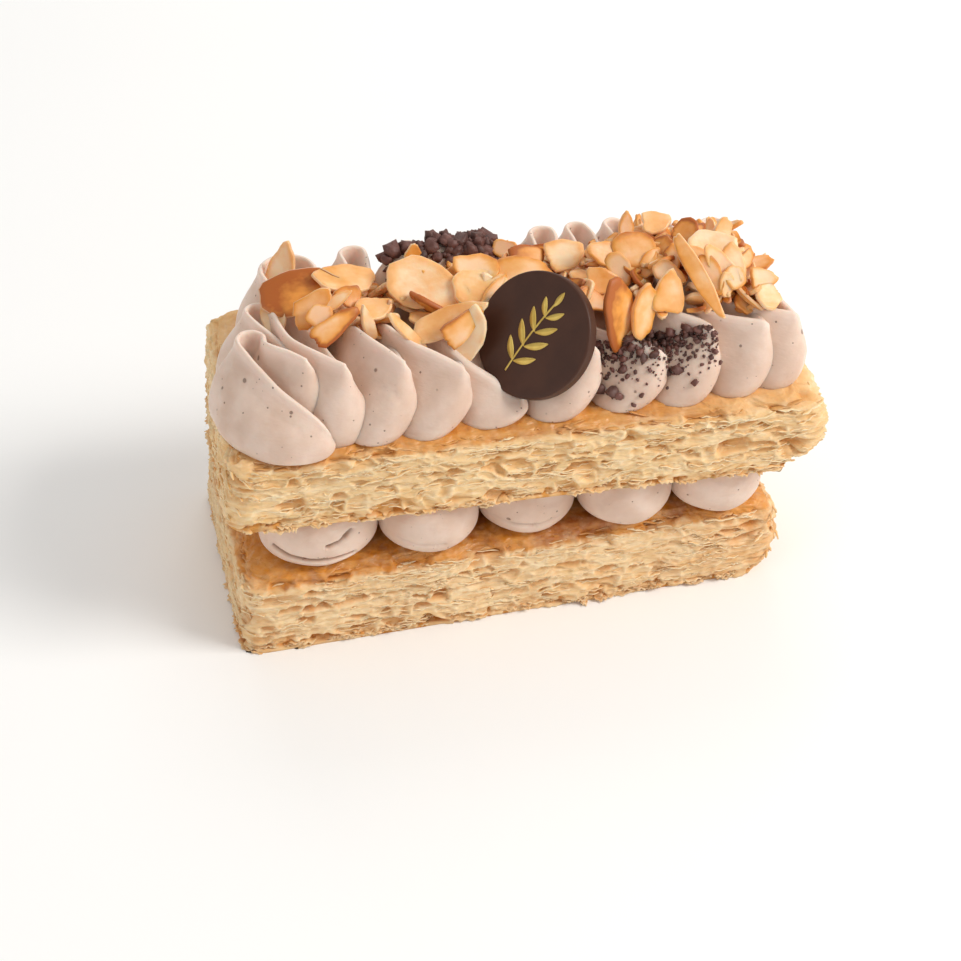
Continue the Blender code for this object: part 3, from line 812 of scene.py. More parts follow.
def moundShape(left, right, front, number):
    # a squarish tube lying front to back with rounded ends, fullest a little below its middle
    halfWidth = (right - left) / 2.0 + fillings["overlap"]
    bottom, top = lowerTop - 0.4, upperBase + 0.6
    height = top - bottom
    cap, back = fillings["capDepth"], fillings["back"]
    lean = np.concatenate(((0.0008, 0.003, 0.007, 0.013, 0.02), np.linspace(0.03, math.pi / 2, 46)))
    frontRows = np.column_stack((front + cap * (1.0 - np.cos(lean)), np.sin(lean)))
    run = np.linspace(front + cap, back - cap, 14)[1:-1]
    runRows = np.column_stack((run, np.ones(len(run))))
    backRows = np.column_stack((back - cap * (1.0 - np.cos(lean[::-1])), np.sin(lean[::-1])))
    stations = np.vstack((frontRows, runRows, backRows))
    angle = np.linspace(0.0, math.tau, fillings["around"], endpoint=False)
    across = np.sign(np.cos(angle)) * np.abs(np.cos(angle)) ** 0.85
    up = np.sign(np.sin(angle)) * np.abs(np.sin(angle)) ** 0.6
    size = stations[:, 1:2]
    x = (left + right) / 2.0 + halfWidth * size ** 0.95 * across
    tall = size ** 0.2 * size / (size + 0.004)
    z = bottom + height * (0.5 + 0.5 * tall * up)
    pinch = ((z - bottom) / height - 0.45) ** 2
    y = stations[:, :1] + 4.6 * pinch * np.where(stations[:, :1] < back / 2.0, 1.0, -1.0)
    rows = np.stack((x, np.broadcast_to(y, x.shape), z), -1)
    rows += 0.4 * layeredNoise(rows + number * 40.0, 11.0, 200 + number, 2)[..., None] * (0.3, 0.8, 0.1)
    rows += 0.05 * layeredNoise(rows, (2.4, 2.4, 0.9), 220 + number, 2)[..., None] * (0.0, 1.0, 0.0)
    pressed = creaseDepth(rows, creases)
    rows += pressed[..., None] * (0.0, 1.0, 0.0)
    points, faces = closedRows(rows, rows[0].mean(axis=0), rows[-1].mean(axis=0))
    return points, faces, np.append(pressed, (0.0, 0.0))


def makeFillings():
    # five fingers side by side, one for each node
    for number, (left, right, front) in enumerate(fillings["fingers"], start=1):
        points, faces, pressed = moundShape(left, right, front, number)
        # crease carries the painted shade in the fingers' creases; the fingers get no painted highlight on
        # their crests
        marks = {"crest": 0.0 * pressed, "crease": pressed}
        node = f"filling_{number}"
        addPiece(node + "_piped", points, faces, creamMaterial, (node,), marks)


ribbon = {
    # the tail along the left end, from its tip: foot x and y, crest x and y, crest height, half-width
    "tail": ((20.5, 3.6, 20.5, 3.4, 0.8, 0.4), (20.4, 2.9, 20.6, 2.8, 2.6, 1.0),
             (19.7, 2.2, 20.3, 2.4, 4.0, 1.8), (18.4, 1.6, 19.4, 2.6, 5.5, 2.6),
             (16.2, 1.2, 17.6, 3.6, 7.4, 3.4), (12.2, 1.6, 14.2, 5.8, 9.9, 4.0),
             (7.6, 3.8, 10.5, 9.2, 12.6, 4.2), (3.9, 8.0, 7.0, 14.6, 15.3, 4.2),
             (1.9, 14.0, 4.6, 19.3, 16.9, 4.2)),
    # each front turn, left to right: foot x and y, crest x, y and height, how blunt its top is, and how far
    # the crest falls round the turn
    "fronts": ((16.0, 11.0, 17.6, 9.2, 18.2, 0.1, 3.2), (22.2, 5.6, 24.9, 7.0, 16.9, 0.15, 3.2),
               (30.3, 4.3, 37.2, 6.6, 16.0, 0.2, 3.2), (40.8, 3.8, 49.4, 5.6, 13.4, 0.25, 3.0),
               (54.4, 4.6, 60.6, 5.2, 4.8, 0.5, 1.2), (68.8, 4.0, 77.0, 5.6, 14.8, 0.4, 2.2),
               (83.7, 4.0, 91.7, 5.4, 11.4, 0.4, 2.0), (96.3, 3.1, 102.6, 5.6, 15.8, 0.3, 2.4),
               (108.2, 3.7, 114.3, 5.6, 15.3, 0.3, 1.2), (117.2, 4.8, 121.5, 7.2, 15.2, 0.3, 1.2)),
    # where the crest passes on its way to each front turn: x, y and height, twice
    "shoulders": (((9.6, 17.5, 18.2), (14.2, 12.4, 18.4)), ((15.5, 16.5, 18.2), (20.6, 10.6, 17.9)),
                  ((31.0, 15.0, 17.6), (34.6, 9.8, 16.7)), ((38.6, 13.8, 16.4), (45.2, 8.6, 14.9)),
                  ((50.4, 10.8, 11.4), (55.0, 8.0, 8.8)), ((66.5, 11.0, 15.6), (72.8, 8.0, 15.3)),
                  ((80.0, 11.0, 14.2), (87.2, 8.0, 13.0)), ((96.9, 10.6, 16.4), (100.3, 7.8, 16.2)),
                  ((103.0, 11.6, 15.4), (109.0, 8.0, 15.3)), ((110.5, 12.6, 15.6), (116.6, 9.2, 15.5))),
    # the back turn before each front turn, and one after the last: foot x and y, crest x, y and radius
    "backs": ((4.4, 25.0, 7.3, 23.8, 2.9), (6.5, 35.5, 10.1, 33.6, 2.6), (15.5, 50.0, 18.5, 51.5, 6.0),
              (29.0, 52.5, 33.5, 51.5, 2.8), (41.5, 52.5, 46.0, 51.0, 2.5), (56.0, 52.5, 61.0, 51.0, 2.8),
              (70.0, 52.0, 76.5, 50.5, 2.7), (80.5, 52.0, 84.5, 50.5, 2.4), (90.0, 52.0, 93.5, 50.5, 2.6),
              (101.0, 52.0, 105.0, 50.5, 2.4), (112.5, 51.0, 116.0, 49.5, 2.6)),
    "backHeight": 17.0,
    "footRadius": 3.0,
    "crestRadius": 0.5,
    "underHeap": 3.0,  # how far the crest sinks below the almonds
    "endSink": 2.6,  # and how far at the right end of the back
    "halfWidth": 4.2,
    # up the side: share of the height, share of the foot's half-width, and what a blunt top adds
    "section": ((0.0, 0.8, 0.0), (0.05, 0.88, 0.0), (0.13, 0.96, 0.0), (0.25, 1.0, 0.0),
                (0.42, 0.96, 0.02), (0.6, 0.68, 0.14), (0.77, 0.34, 0.3), (0.88, 0.18, 0.33),
                (0.94, 0.15, 0.26), (0.98, 0.12, 0.14), (1.0, 0.05, 0.03)),
    "turnSteps": 26,
    "strokeSteps": 30,
    "sideRows": 34,
}


def turnArc(x, y, radius, front, *extra):
    # half a circle from the left side of a turn to its right side, round its outer end
    angle = np.linspace(math.pi, math.tau if front else 0.0, ribbon["turnSteps"])
    constant = np.tile(extra, (len(angle), 1))
    return np.column_stack((x + radius * np.cos(angle), y + radius * np.sin(angle), constant))


def crestCorner(before, x, y, height, fall):
    # the crest's way round a front turn: straight on to the corner while the foot comes round the left half
    # of its turn, then a small arc at the corner, sinking, while the foot goes round the right half
    radius, half = ribbon["crestRadius"], ribbon["turnSteps"] // 2
    heading = math.atan2(y - before[1], x - before[0])
    angle = np.linspace(heading + 1.5 * math.pi, math.tau, half)
    sink = fall * np.linspace(0.0, 1.0, half) ** 1.8
    arc = np.column_stack((x + radius * np.cos(angle), y + radius + radius * np.sin(angle), height - sink))
    share = np.linspace(0.4, 1.0, ribbon["turnSteps"] - half, endpoint=False)[:, None]
    return np.vstack((np.array(before) + (arc[0] - np.array(before)) * share, arc))


def strokeRun(stops, forward):
    # a smooth curve through the stops: between two of them a cubic whose direction at each stop is that
    # from its neighbour before to its neighbour after; the steps grow closer towards the front turn
    stops = np.array(stops, float)
    pace = np.linalg.norm(np.diff(stops[:, :2], axis=0), axis=1) + 1e-6
    reached = np.concatenate(((0.0,), np.cumsum(pace)))
    slope = np.tile((stops[1] - stops[0]) / pace[0], (2, 1))
    if len(stops) > 2:
        slope = np.gradient(stops, reached, axis=0)
    even = np.linspace(0.0, 1.0, ribbon["strokeSteps"] + 2)[1:-1]
    share = 1.0 - (1.0 - even) ** 1.7 if forward else even ** 1.7
    at = share * reached[-1]
    part = np.clip(np.searchsorted(reached, at, "right") - 1, 0, len(stops) - 2)
    length = pace[part][:, None]
    t = ((at - reached[part]) / pace[part])[:, None]
    return ((2 * t ** 3 - 3 * t ** 2 + 1) * stops[part] + (t ** 3 - 2 * t ** 2 + t) * length * slope[part]
            + (3 * t ** 2 - 2 * t ** 3) * stops[part + 1] + (t ** 3 - t ** 2) * length * slope[part + 1])


def softened(path, reach):
    # a running mean with a bell-shaped weight over the path's neighbours
    offset = np.arange(-3 * reach, 3 * reach + 1)
    weight = np.exp(-0.5 * (offset / reach) ** 2)
    padded = np.pad(path, ((3 * reach, 3 * reach), (0, 0)), mode="edge")
    return np.stack([np.convolve(column, weight / weight.sum(), "valid") for column in padded.T], 1)


def ribbonRails():
    # the foot rail (x, y, half-width, bluntness) and the crest rail (x, y, height), from the tail's tip on
    tail = np.array(ribbon["tail"])
    share = np.linspace(0, len(tail) - 1, 60)
    tail = np.column_stack([np.interp(share, np.arange(len(tail)), column) for column in tail.T])
    wide = ribbon["halfWidth"]
    feet, crests = [np.column_stack((tail[:, (0, 1, 5)], np.zeros(len(tail))))], [tail[:, 2:5]]
    for number, (footX, footY, crestX, crestY, radius) in enumerate(ribbon["backs"]):
        footRadius = max(ribbon["footRadius"], radius + 1.0)
        footTurn = turnArc(footX, footY - footRadius, footRadius, False, wide, 0.0)
        crestTurn = turnArc(crestX, crestY - radius, radius, False, ribbon["backHeight"])
        feet += [strokeRun((feet[-1][-1], footTurn[0]), False), footTurn]
        crests += [strokeRun((crests[-1][-1], crestTurn[0]), False), crestTurn]
        if number < len(ribbon["fronts"]):
            footX, footY, crestX, crestY, height, blunt, fall = ribbon["fronts"][number]
            footTurn = turnArc(footX, footY + ribbon["footRadius"], ribbon["footRadius"], True, wide, blunt)
            crestTurn = crestCorner(ribbon["shoulders"][number][1], crestX, crestY, height, fall)
            stops = (crests[-1][-1], *ribbon["shoulders"][number], crestTurn[0])
            feet += [strokeRun((feet[-1][-1], footTurn[0]), True), footTurn]
            crests += [strokeRun(stops, True), crestTurn]
    foot, crest = softened(np.vstack(feet), 3), softened(np.vstack(crests), 2)

    under = smoothStep(18.0, 25.0, crest[:, 1]) * (1.0 - smoothStep(38.0, 46.0, crest[:, 1]))
    crest[:, 2] -= ribbon["underHeap"] * under * smoothStep(18.0, 26.0, crest[:, 0])
    atEnd = smoothStep(92.0, 101.0, crest[:, 0]) * smoothStep(38.0, 45.0, crest[:, 1])
    crest[:, 2] -= ribbon["endSink"] * atEnd
    return foot, crest


# creases in the ribbon's left folds: points along each, its half-width and its depth
ribbonCreases = (
    (((2.0, 19.8, 63.3), (4.8, 13.6, 61.9), (6.9, 9.3, 60.0), (9.2, 6.2, 58.7), (13.7, 2.4, 56.5)),
     0.5, 0.32),
    (((27.8, 14.7, 62.6), (29.7, 10.9, 61.9), (32.5, 6.5, 61.6)), 0.5, 0.3),
    (((32.5, 6.5, 61.6), (34.4, 4.7, 61.3), (35.8, 3.4, 58.4)), 0.5, 0.45),
    (((12.6, 13.2, 65.6), (14.6, 7.6, 61.9)), 0.45, 0.25),
)


def gridNormals(rows):
    # the way each point of a closed grid faces: the cross product of its two slopes, turned outwards
    along = np.gradient(rows, axis=0)
    around = np.roll(rows, -1, axis=1) - np.roll(rows, 1, axis=1)
    facing = unit(np.cross(along, around))
    away = rows - rows.mean(axis=1, keepdims=True)
    return facing * np.sign((facing * away).sum(axis=-1, keepdims=True))


def makeRibbon():
    # the section carried along two rails: a level's path lies between the foot rail and the crest rail
    foot, crest = ribbonRails()
    table = np.array(ribbon["section"])
    travel = np.linspace(0.0, 1.0, ribbon["sideRows"])
    index = travel * (len(table) - 1)
    shares, widths, extras = (np.interp(index, np.arange(len(table)), column) for column in table.T)
    widths[1:-1] = (widths[:-2] + 2 * widths[1:-1] + widths[2:]) / 4
    sides = []
    for side in (1.0, -1.0):
        levels = []
        for share, width, extra in zip(shares, widths, extras):
            ease = 1.0 - (1.0 - share) ** 1.35
            path = foot[:, :2] + (crest[:, :2] - foot[:, :2]) * ease
            ahead = unit(np.gradient(path, axis=0))
            half = foot[:, 2:3] * (width + extra * foot[:, 3:4])
            aside = np.column_stack((-ahead[:, 1], ahead[:, 0])) * half * side
            rise = creamBase - 0.5 + (crest[:, 2] + 0.5) * share
            levels.append(np.column_stack((path + aside, rise)))
        sides.append(levels)
    section = np.stack(sides[0] + sides[1][::-1], axis=1)
    wobble = layeredNoise(section, (9.0, 9.0, 14.0), 300, 2)[..., None] * (0.22, 0.22, 0.0)
    section = section + wobble
    section[..., :2] += 0.04 * layeredNoise(section, (2.6, 2.6, 1.2), 320, 2)[..., None]
    pressed = creaseDepth(section, ribbonCreases)
    section -= pressed[..., None] * gridNormals(section)
    shareMark = np.tile(np.concatenate((shares, shares[::-1])), (len(section), 1))
    points, faces = closedRows(section, section[0].mean(axis=0), section[-1].mean(axis=0))
    # crest carries the painted highlight near the ribbon's top, crease the painted shade in its creases
    marks = {"crest": np.append(shareMark, (0.3, 0.3)), "crease": np.append(pressed * 1.6, (0.0, 0.0))}
    return addPiece("cream_ruffle_piped", points, faces, creamMaterial, ("cream_ruffle",), marks)


def ovalRows(middle, half, corner, sizes, heights):
    # rings of an oval in plan, its corners filled out by corner, one ring for each size and height
    angle = np.linspace(0.0, math.tau, len(corner), endpoint=False)
    plan = np.column_stack((np.cos(angle), np.sin(angle))) * corner[:, None] * np.array(half)
    level = np.broadcast_to(heights[:, None, None], (len(sizes), len(angle), 1))
    return np.concatenate((plan[None] * sizes[:, None, None] + np.array(middle), level), -1)


creamBed = {"middle": (64.5, 28.5), "half": (52.0, 19.0), "height": 10.5}


def makeBed():
    # a low rounded block of cream under the strokes: a squarish ring that shrinks as it rises
    angle = np.linspace(0.0, math.tau, 96, endpoint=False)
    lean = np.linspace(0.0, math.pi / 2 - 0.05, 12)
    square = np.maximum(np.abs(np.cos(angle)), np.abs(np.sin(angle))) ** -0.7
    heights = creamBase - 0.2 + creamBed["height"] * np.sin(lean)
    rows = ovalRows(creamBed["middle"], creamBed["half"], square, np.cos(lean) ** 0.5, heights)
    rows[..., 2] += 0.5 * layeredNoise(rows, 8.0, 350, 2)
    rows[0, :, 2] = creamBase - 0.2
    low = np.array((*creamBed["middle"], creamBase - 0.2))
    points, faces = closedRows(rows, low, low + (0.0, 0.0, creamBed["height"]))
    addPiece("cream_bed", points, faces, creamMaterial)


nibSeat = {"middle": (53.5, 43.2), "half": (16.5, 5.2), "top": 69.9, "height": 8.0}


def makeNibSeat():
    # a cushion of cream under the nibs: rings of an oval that shrink as a quarter circle rises
    lean = np.linspace(0.0, math.pi / 2 - 0.05, 10)
    low, high = nibSeat["top"] - nibSeat["height"], nibSeat["top"]
    heights = low + (high - low) * np.sin(lean)
    rows = ovalRows(nibSeat["middle"], nibSeat["half"], np.ones(64), np.cos(lean) ** 0.6, heights)
    rows += 0.9 * layeredNoise(rows, 6.0, 360, 2)[..., None] * (0.6, 0.6, 1.0)
    middle = np.array(nibSeat["middle"])
    points, faces = closedRows(rows, np.append(middle, low), np.append(middle, high))
    return addPiece("cream_nib_seat", points, faces, creamMaterial)


# rim is the painted highlight along the crests, shade the painted shade in the creases
creamLook = {"pale": (0.785, 0.612, 0.508), "warm": (0.675, 0.487, 0.382), "rim": (0.85, 0.70, 0.61),
             "shade": (0.38, 0.22, 0.145), "speck": (0.13, 0.065, 0.04)}


def makeCreamMaterial():
    # matt cream with faint clouds, a painted highlight along the crests, painted shade in the creases and
    # dark specks in small dents
    look = creamLook
    material, tree, shader, spot = startMaterial("whippedCream")
    crest, crease = readMarks(tree, "crest", "crease")
    cloud = useGroup(tree, mottleGroup, Vector=spot, Scale=130.0, Detail=4.0)
    colour = addMix(tree, cloud, look["pale"], look["warm"])
    # painted highlight along the crests
    colour = addMix(tree, times(tree, addRange(tree, crest, 0.82, 0.97), 0.6), colour, look["rim"])
    # painted shade in the creases
    colour = addMix(tree, times(tree, addRange(tree, crease, 0.3, 1.2), 0.8), colour, look["shade"])
    big = useGroup(tree, speckGroup, Vector=spot, Scale=260.0, Share=0.5, Reach=0.19)
    small = useGroup(tree, speckGroup, Vector=spot, Scale=640.0, Share=0.55, Reach=0.19)
    mask = times(tree, addMath(tree, "MAXIMUM", big, small), 0.68)
    fillInputs(tree, shader, {"Base Color": addMix(tree, mask, colour, look["speck"]),
                              "Roughness": addRange(tree, cloud, 0.0, 1.0, 0.46, 0.6),
                              "Specular IOR Level": 0.4})
    height = useGroup(tree, grainGroup, Vector=stretch(tree, spot, (0.6, 0.6, 1.3)),
                      Coarse=420.0, Fine=1500.0, Fine_Share=0.6)
    addBump(tree, shader, minus(tree, height, times(tree, mask, 1.4)), 0.00022, 0.6)
    softInside(shader, 0.4, (1.0, 0.6, 0.42), 0.0025)
    return material


# a flake's outline steps, and its rings: share of the outline and of the half-thickness
flakeShape = {"around": 26, "rings": ((0.45, 1), (0.82, 1), (0.96, 1), (1.0, 0.45),
                                      (1.0, -0.45), (0.96, -1), (0.5, -1))}

# each flake as listed: middle, length and width, the way its face looks, the turn of its long axis in
# that face, bow along its length, how toasted it is, how its toast fades across, and where it is broken
heroFlakes = (
    ((17.6, 46.0, 67.5), (13.0, 6.5), (-0.5, -0.6, 0.25), 80, 0.1, 0.02, 0.0, None),
    ((19.6, 32.5, 69.6), (18.0, 10.5), (-0.1, -0.62, 0.72), 12, -0.12, 0.92, 0.4, None),
    ((29.5, 33.6, 71.0), (14.5, 8.0), (0.3, -0.25, 0.95), -38, 0.1, 0.42, 0.15, None),
    ((13.6, 31.0, 66.5), (12.0, 6.0), (-0.5, -0.4, 0.8), -50, 0.1, 0.2, 0.0, None),
    ((19.8, 24.5, 70.0), (14.0, 6.0), (-0.2, -0.85, 0.5), 42, 0.08, 0.42, 0.15, 150),
    ((22.0, 22.0, 71.0), (6.5, 6.0), (-0.1, -0.8, 0.6), 60, 0.05, 0.12, 0.0, 20),
    ((26.2, 24.6, 71.5), (7.5, 2.6), (-0.2, -0.7, 0.7), 38, 0.0, 0.2, 0.0, None),
    ((28.8, 27.0, 70.2), (7.5, 5.5), (0.2, -0.7, 0.7), 20, 0.1, 0.6, 0.1, 200),
    ((23.4, 18.0, 68.8), (15.5, 4.8), (-0.1, -0.75, 0.6), 36, -0.05, 0.5, -0.5, 180),
    ((34.2, 24.4, 69.4), (8.5, 6.5), (0.1, -0.5, 0.85), 10, 0.25, 0.4, 0.1, 60),
    ((31.8, 19.6, 68.6), (8.0, 2.6), (0.4, -0.9, 0.3), 96, 0.05, 0.1, 0.0, None),
    ((46.6, 28.6, 69.8), (19.0, 11.0), (-0.05, -0.6, 0.8), -24, 0.1, 0.14, 0.05, None),
    ((56.1, 30.2, 70.8), (13.0, 9.0), (0.05, -0.55, 0.85), 6, 0.12, 0.26, 0.0, 185),
    ((57.2, 27.0, 69.4), (12.5, 8.0), (0.1, -0.5, 0.9), 2, 0.1, 0.3, 0.0, None),
    ((67.0, 29.2, 69.4), (14.5, 8.5), (0.0, -0.5, 0.85), -6, -0.1, 0.4, 0.0, None),
    ((70.9, 34.4, 70.4), (11.5, 4.0), (0.25, -0.6, 0.7), -28, -0.15, 0.66, 0.1, 0),
    ((76.2, 32.6, 70.8), (12.0, 8.0), (0.0, -0.4, 0.9), 8, 0.12, 0.2, 0.0, 180),
    ((66.3, 41.2, 69.6), (6.0, 5.0), (-0.2, -0.8, 0.4), 50, 0.1, 0.2, 0.0, 30),
    ((46.4, 41.2, 70.0), (6.0, 5.0), (0.1, -0.9, 0.3), 80, 0.0, 0.62, 0.0, 300),
    ((48.6, 17.6, 67.8), (17.0, 6.4), (-0.3, -0.55, 0.75), 34, 0.1, 0.34, 0.1, None),
    ((49.4, 14.6, 67.0), (15.5, 5.6), (0.1, -0.9, 0.35), 30, -0.1, 0.42, 0.45, 180),
    ((52.4, 14.6, 65.2), (15.0, 7.0), (-0.45, -0.8, 0.3), 80, 0.1, 0.04, 0.0, 250),
    ((39.6, 15.6, 67.2), (14.0, 2.4), (0.5, -0.7, 0.4), -62, 0.05, 0.3, 0.0, None),
    ((83.2, 10.2, 69.0), (17.5, 8.6), (0.55, -0.8, 0.15), 91, -0.08, 0.7, 0.95, None),
    ((89.0, 10.8, 68.6), (12.0, 6.2), (0.4, -0.85, 0.25), 68, 0.1, 0.34, 0.2, None),
    ((94.7, 12.4, 69.6), (12.5, 7.4), (0.15, -0.85, 0.45), 72, 0.1, 0.36, 0.2, 180),
    ((101.4, 13.6, 74.0), (20.5, 3.7), (-0.25, -0.78, 0.55), -57, 0.06, 0.4, -0.25, None),
    ((86.9, 27.0, 72.8), (12.5, 5.6), (0.1, -0.7, 0.6), -22, 0.1, 0.22, 0.0, 0),
    ((87.4, 24.4, 70.8), (8.0, 5.0), (-0.2, -0.7, 0.6), -60, 0.1, 0.16, 0.0, None),
    ((92.8, 26.6, 73.4), (13.5, 8.0), (-0.1, -0.6, 0.75), -8, 0.15, 0.4, 0.1, 10),
    ((91.8, 35.0, 74.6), (6.5, 3.4), (0.1, -0.9, 0.3), 84, 0.05, 0.16, 0.0, None),
    ((97.3, 34.6, 75.0), (9.5, 5.6), (0.1, -0.5, 0.85), -8, 0.1, 0.26, 0.0, 170),
    ((102.5, 28.6, 75.4), (8.0, 6.5), (-0.4, -0.7, 0.5), 40, 0.1, 0.52, 0.1, 120),
    ((107.4, 22.8, 75.0), (11.5, 7.0), (0.05, -0.55, 0.8), -4, 0.1, 0.12, 0.0, None),
    ((111.6, 27.0, 76.0), (6.0, 5.0), (0.2, -0.8, 0.5), 70, 0.1, 0.44, 0.0, 260),
    ((107.0, 15.6, 74.6), (11.5, 4.6), (0.1, -0.9, 0.4), -54, 0.3, 0.02, 0.0, None),
    ((109.8, 17.2, 73.8), (8.5, 6.5), (0.0, -0.8, 0.6), 80, 0.1, 0.2, 0.0, None),
    ((102.8, 19.8, 74.4), (7.5, 4.8), (-0.1, -0.6, 0.8), -20, 0.1, 0.24, 0.0, None),
    ((104.6, 14.6, 73.2), (9.5, 4.6), (-0.2, -0.85, 0.4), -64, 0.15, 0.2, 0.1, None),
    ((107.6, 13.2, 71.2), (5.5, 3.6), (0.2, -0.9, 0.3), 80, 0.1, 0.12, 0.0, None),
    ((110.4, 14.2, 72.2), (6.5, 5.0), (0.1, -0.8, 0.6), 10, 0.1, 0.24, 0.0, 0),
    ((115.2, 13.8, 71.0), (8.5, 5.0), (0.15, -0.7, 0.7), -12, 0.1, 0.18, 0.0, 180),
    ((117.4, 11.2, 68.4), (8.0, 5.5), (0.2, -0.6, 0.8), 8, 0.1, 0.26, 0.0, 0),
    ((113.6, 19.4, 73.0), (5.0, 4.0), (0.3, -0.7, 0.6), 20, 0.0, 0.36, 0.0, 90),
    ((96.3, 17.2, 73.0), (7.5, 4.2), (-0.2, -0.7, 0.6), -24, 0.1, 0.18, 0.0, None),
    ((82.0, 22.8, 69.6), (10.0, 6.0), (0.0, -0.75, 0.6), -8, -0.1, 0.54, 0.1, 180),
    ((80.2, 18.6, 67.6), (9.5, 4.4), (0.3, -0.7, 0.6), -42, 0.1, 0.42, 0.0, None),
)

heroShift = (-0.2, -1.0, 0.8)  # moves all of them together
heroThickness = 1.05
scatterFlakes = {
    "seed": 41,
    # how many, two corners of the plan they fall on, how far under and over the heap's top, lengths
    "fields": ((170, (19.0, 21.0), (118.0, 43.0), (-3.2, 0.3), (4.0, 13.5)),
               (120, (84.0, 11.0), (118.0, 36.0), (-2.6, 0.9), (4.0, 9.5)),
               (26, (106.0, 12.5), (118.0, 18.0), (-1.6, 0.6), (3.5, 8.0)),
               (60, (20.0, 19.0), (120.0, 42.0), (-0.4, 1.1), (2.0, 4.5))),
    "slimness": (0.27, 0.62),  # width as a share of the length
    "thickness": (0.7, 1.1),
    "tilt": 0.6,
    "broken": 0.6,
    "mostToast": 0.74,
}


def flakeMeshes(middles, sizes, facings, turns, bows, toasts, fades, breaks, thicknesses, seed):
    # closed lens-thin shapes, all at once: an almond outline, rings in over the top, round the rim and
    # back underneath, bent along the length, then turned to face the given way
    rng = np.random.default_rng(seed)
    count, around = len(middles), flakeShape["around"]
    angle = np.linspace(0.0, math.tau, around, endpoint=False)[None]
    taper = rng.uniform(0.0, 0.42, (count, 1))
    x = np.cos(angle) * sizes[:, :1] / 2
    y = np.sin(angle) * (1.0 - taper * np.cos(angle)) * sizes[:, 1:] / 2
    phase = rng.uniform(0.0, math.tau, (count, 3, 1))
    wave = sum(np.sin(angle * k + phase[:, n]) for n, k in enumerate((3, 5, 8))) * 0.03
    x, y = x * (1.0 + wave), y * (1.0 + wave)
    reach, bearing = np.hypot(x, y), np.arctan2(y, x)
    broken = ~np.isnan(breaks)[:, None]
    for k, (shift, depth) in enumerate(((0.0, 0.22), (1.0, 0.36))):
        way = np.nan_to_num(breaks)[:, None] + shift
        limit = sizes[:, :1] * depth * rng.uniform(0.8, 1.15, (count, 1))
        limit = limit / np.maximum(np.cos(bearing - way), 1e-3)
        jag = 1.0 + 0.05 * rng.normal(0.0, 1.0, (count, around))
        cut = broken & (np.cos(bearing - way) > 0.0) & (limit * jag < reach)
        reach = np.where(cut, limit * jag, reach)
    outline = np.stack((np.cos(bearing) * reach, np.sin(bearing) * reach), -1)
    rings = np.array(flakeShape["rings"])
    plan = outline[:, None] * rings[None, :, 0, None, None]
    lift = np.broadcast_to(rings[None, :, 1, None], plan.shape[:3]) * thicknesses[:, None, None] / 2
    flat = np.concatenate((plan, lift[..., None]), -1).reshape(count, -1, 3)
    poles = np.zeros((count, 2, 3))
    poles[:, 0, 2], poles[:, 1, 2] = thicknesses / 2, -thicknesses / 2
    flat = np.concatenate((flat, poles), 1)
    along = flat[..., 0] / sizes[:, :1]
    side = flat[..., 1] / sizes[:, 1:]
    twist = rng.normal(0.0, 0.07, (count, 1))
    flat[..., 2] += sizes[:, :1] * (bows[:, None] * (along ** 2 * 4 - 0.5) * 0.5 + twist * along * side * 2
                                    + 0.35 * bows[:, None] * side ** 2)
    rimMark = np.concatenate((np.tile(np.repeat(rings[:, 0] * (1 + (np.abs(rings[:, 1]) < 1)), around),
                                      (count, 1)), np.zeros((count, 2))), 1)
    toastMark = toasts[:, None] + fades[:, None] * side
    out = unit(facings)
    level = unit(np.cross((0.0, 0.0, 1.0), out))
    rise = np.cross(out, level)
    cosine, sine = np.cos(turns)[:, None], np.sin(turns)[:, None]
    longAxis = level * cosine + rise * sine
    wideAxis = np.cross(out, longAxis)
    points = (flat[..., :1] * longAxis[:, None] + flat[..., 1:2] * wideAxis[:, None]
              + flat[..., 2:] * out[:, None] + middles[:, None])
    ringCount, vertices = len(rings), points.shape[1]
    faces = repeatedFaces(count, vertices, ringCount, around)
    own = np.repeat(rng.uniform(0, 1, (count, 1)), vertices, 1)
    return points.reshape(-1, 3), faces, {"rim": rimMark, "toast": toastMark, "own": own}


def surfaceTree(*pieces):
    # a search tree over finished pieces, to lay small things on
    points, faces, first = [], [], 0
    for piece in pieces:
        mesh = piece.data
        points += [vertex.co for vertex in mesh.vertices]
        faces += [[first + index for index in polygon.vertices] for polygon in mesh.polygons]
        first += len(mesh.vertices)
    return BVHTree.FromPolygons(points, faces)


def dropDown(tree, spots, direction=(0.0, 0.0, -1.0), start=60.0):
    # where a straight fall onto the pieces ends, and the surface's normal there, in slice millimetres
    way = Vector(direction).normalized()
    hits, normals, found = [], [], []
    for spot in np.atleast_2d(spots):
        origin = Vector(place(spot)) - way * start * mm
        hit, normal, _, _ = tree.ray_cast(origin, way)
        found.append(hit is not None)
        hits.append(np.array(hit) / mm - sliceShift if hit else np.asarray(spot, float))
        if normal is not None and normal.dot(way) > 0.0:
            normal = -normal
        normals.append(np.array(normal) if hit else np.array((0.0, 0.0, 1.0)))
    return np.array(hits), np.array(normals), np.array(found)


heap = {"middle": (65.0, 27.5), "half": (51.0, 15.5)}


def heapTop(x, y):
    # the height of the heap over its plan: higher to the right, lower towards its edges
    plan = np.hypot((x - heap["middle"][0]) / heap["half"][0], (y - heap["middle"][1]) / heap["half"][1])
    crown = 69.0 + 5.5 * smoothStep(82.0, 98.0, x) - 5.0 * smoothStep(110.0, 122.0, x)
    return crown - 3.5 * np.clip(plan, 0.0, 1.2) ** 2


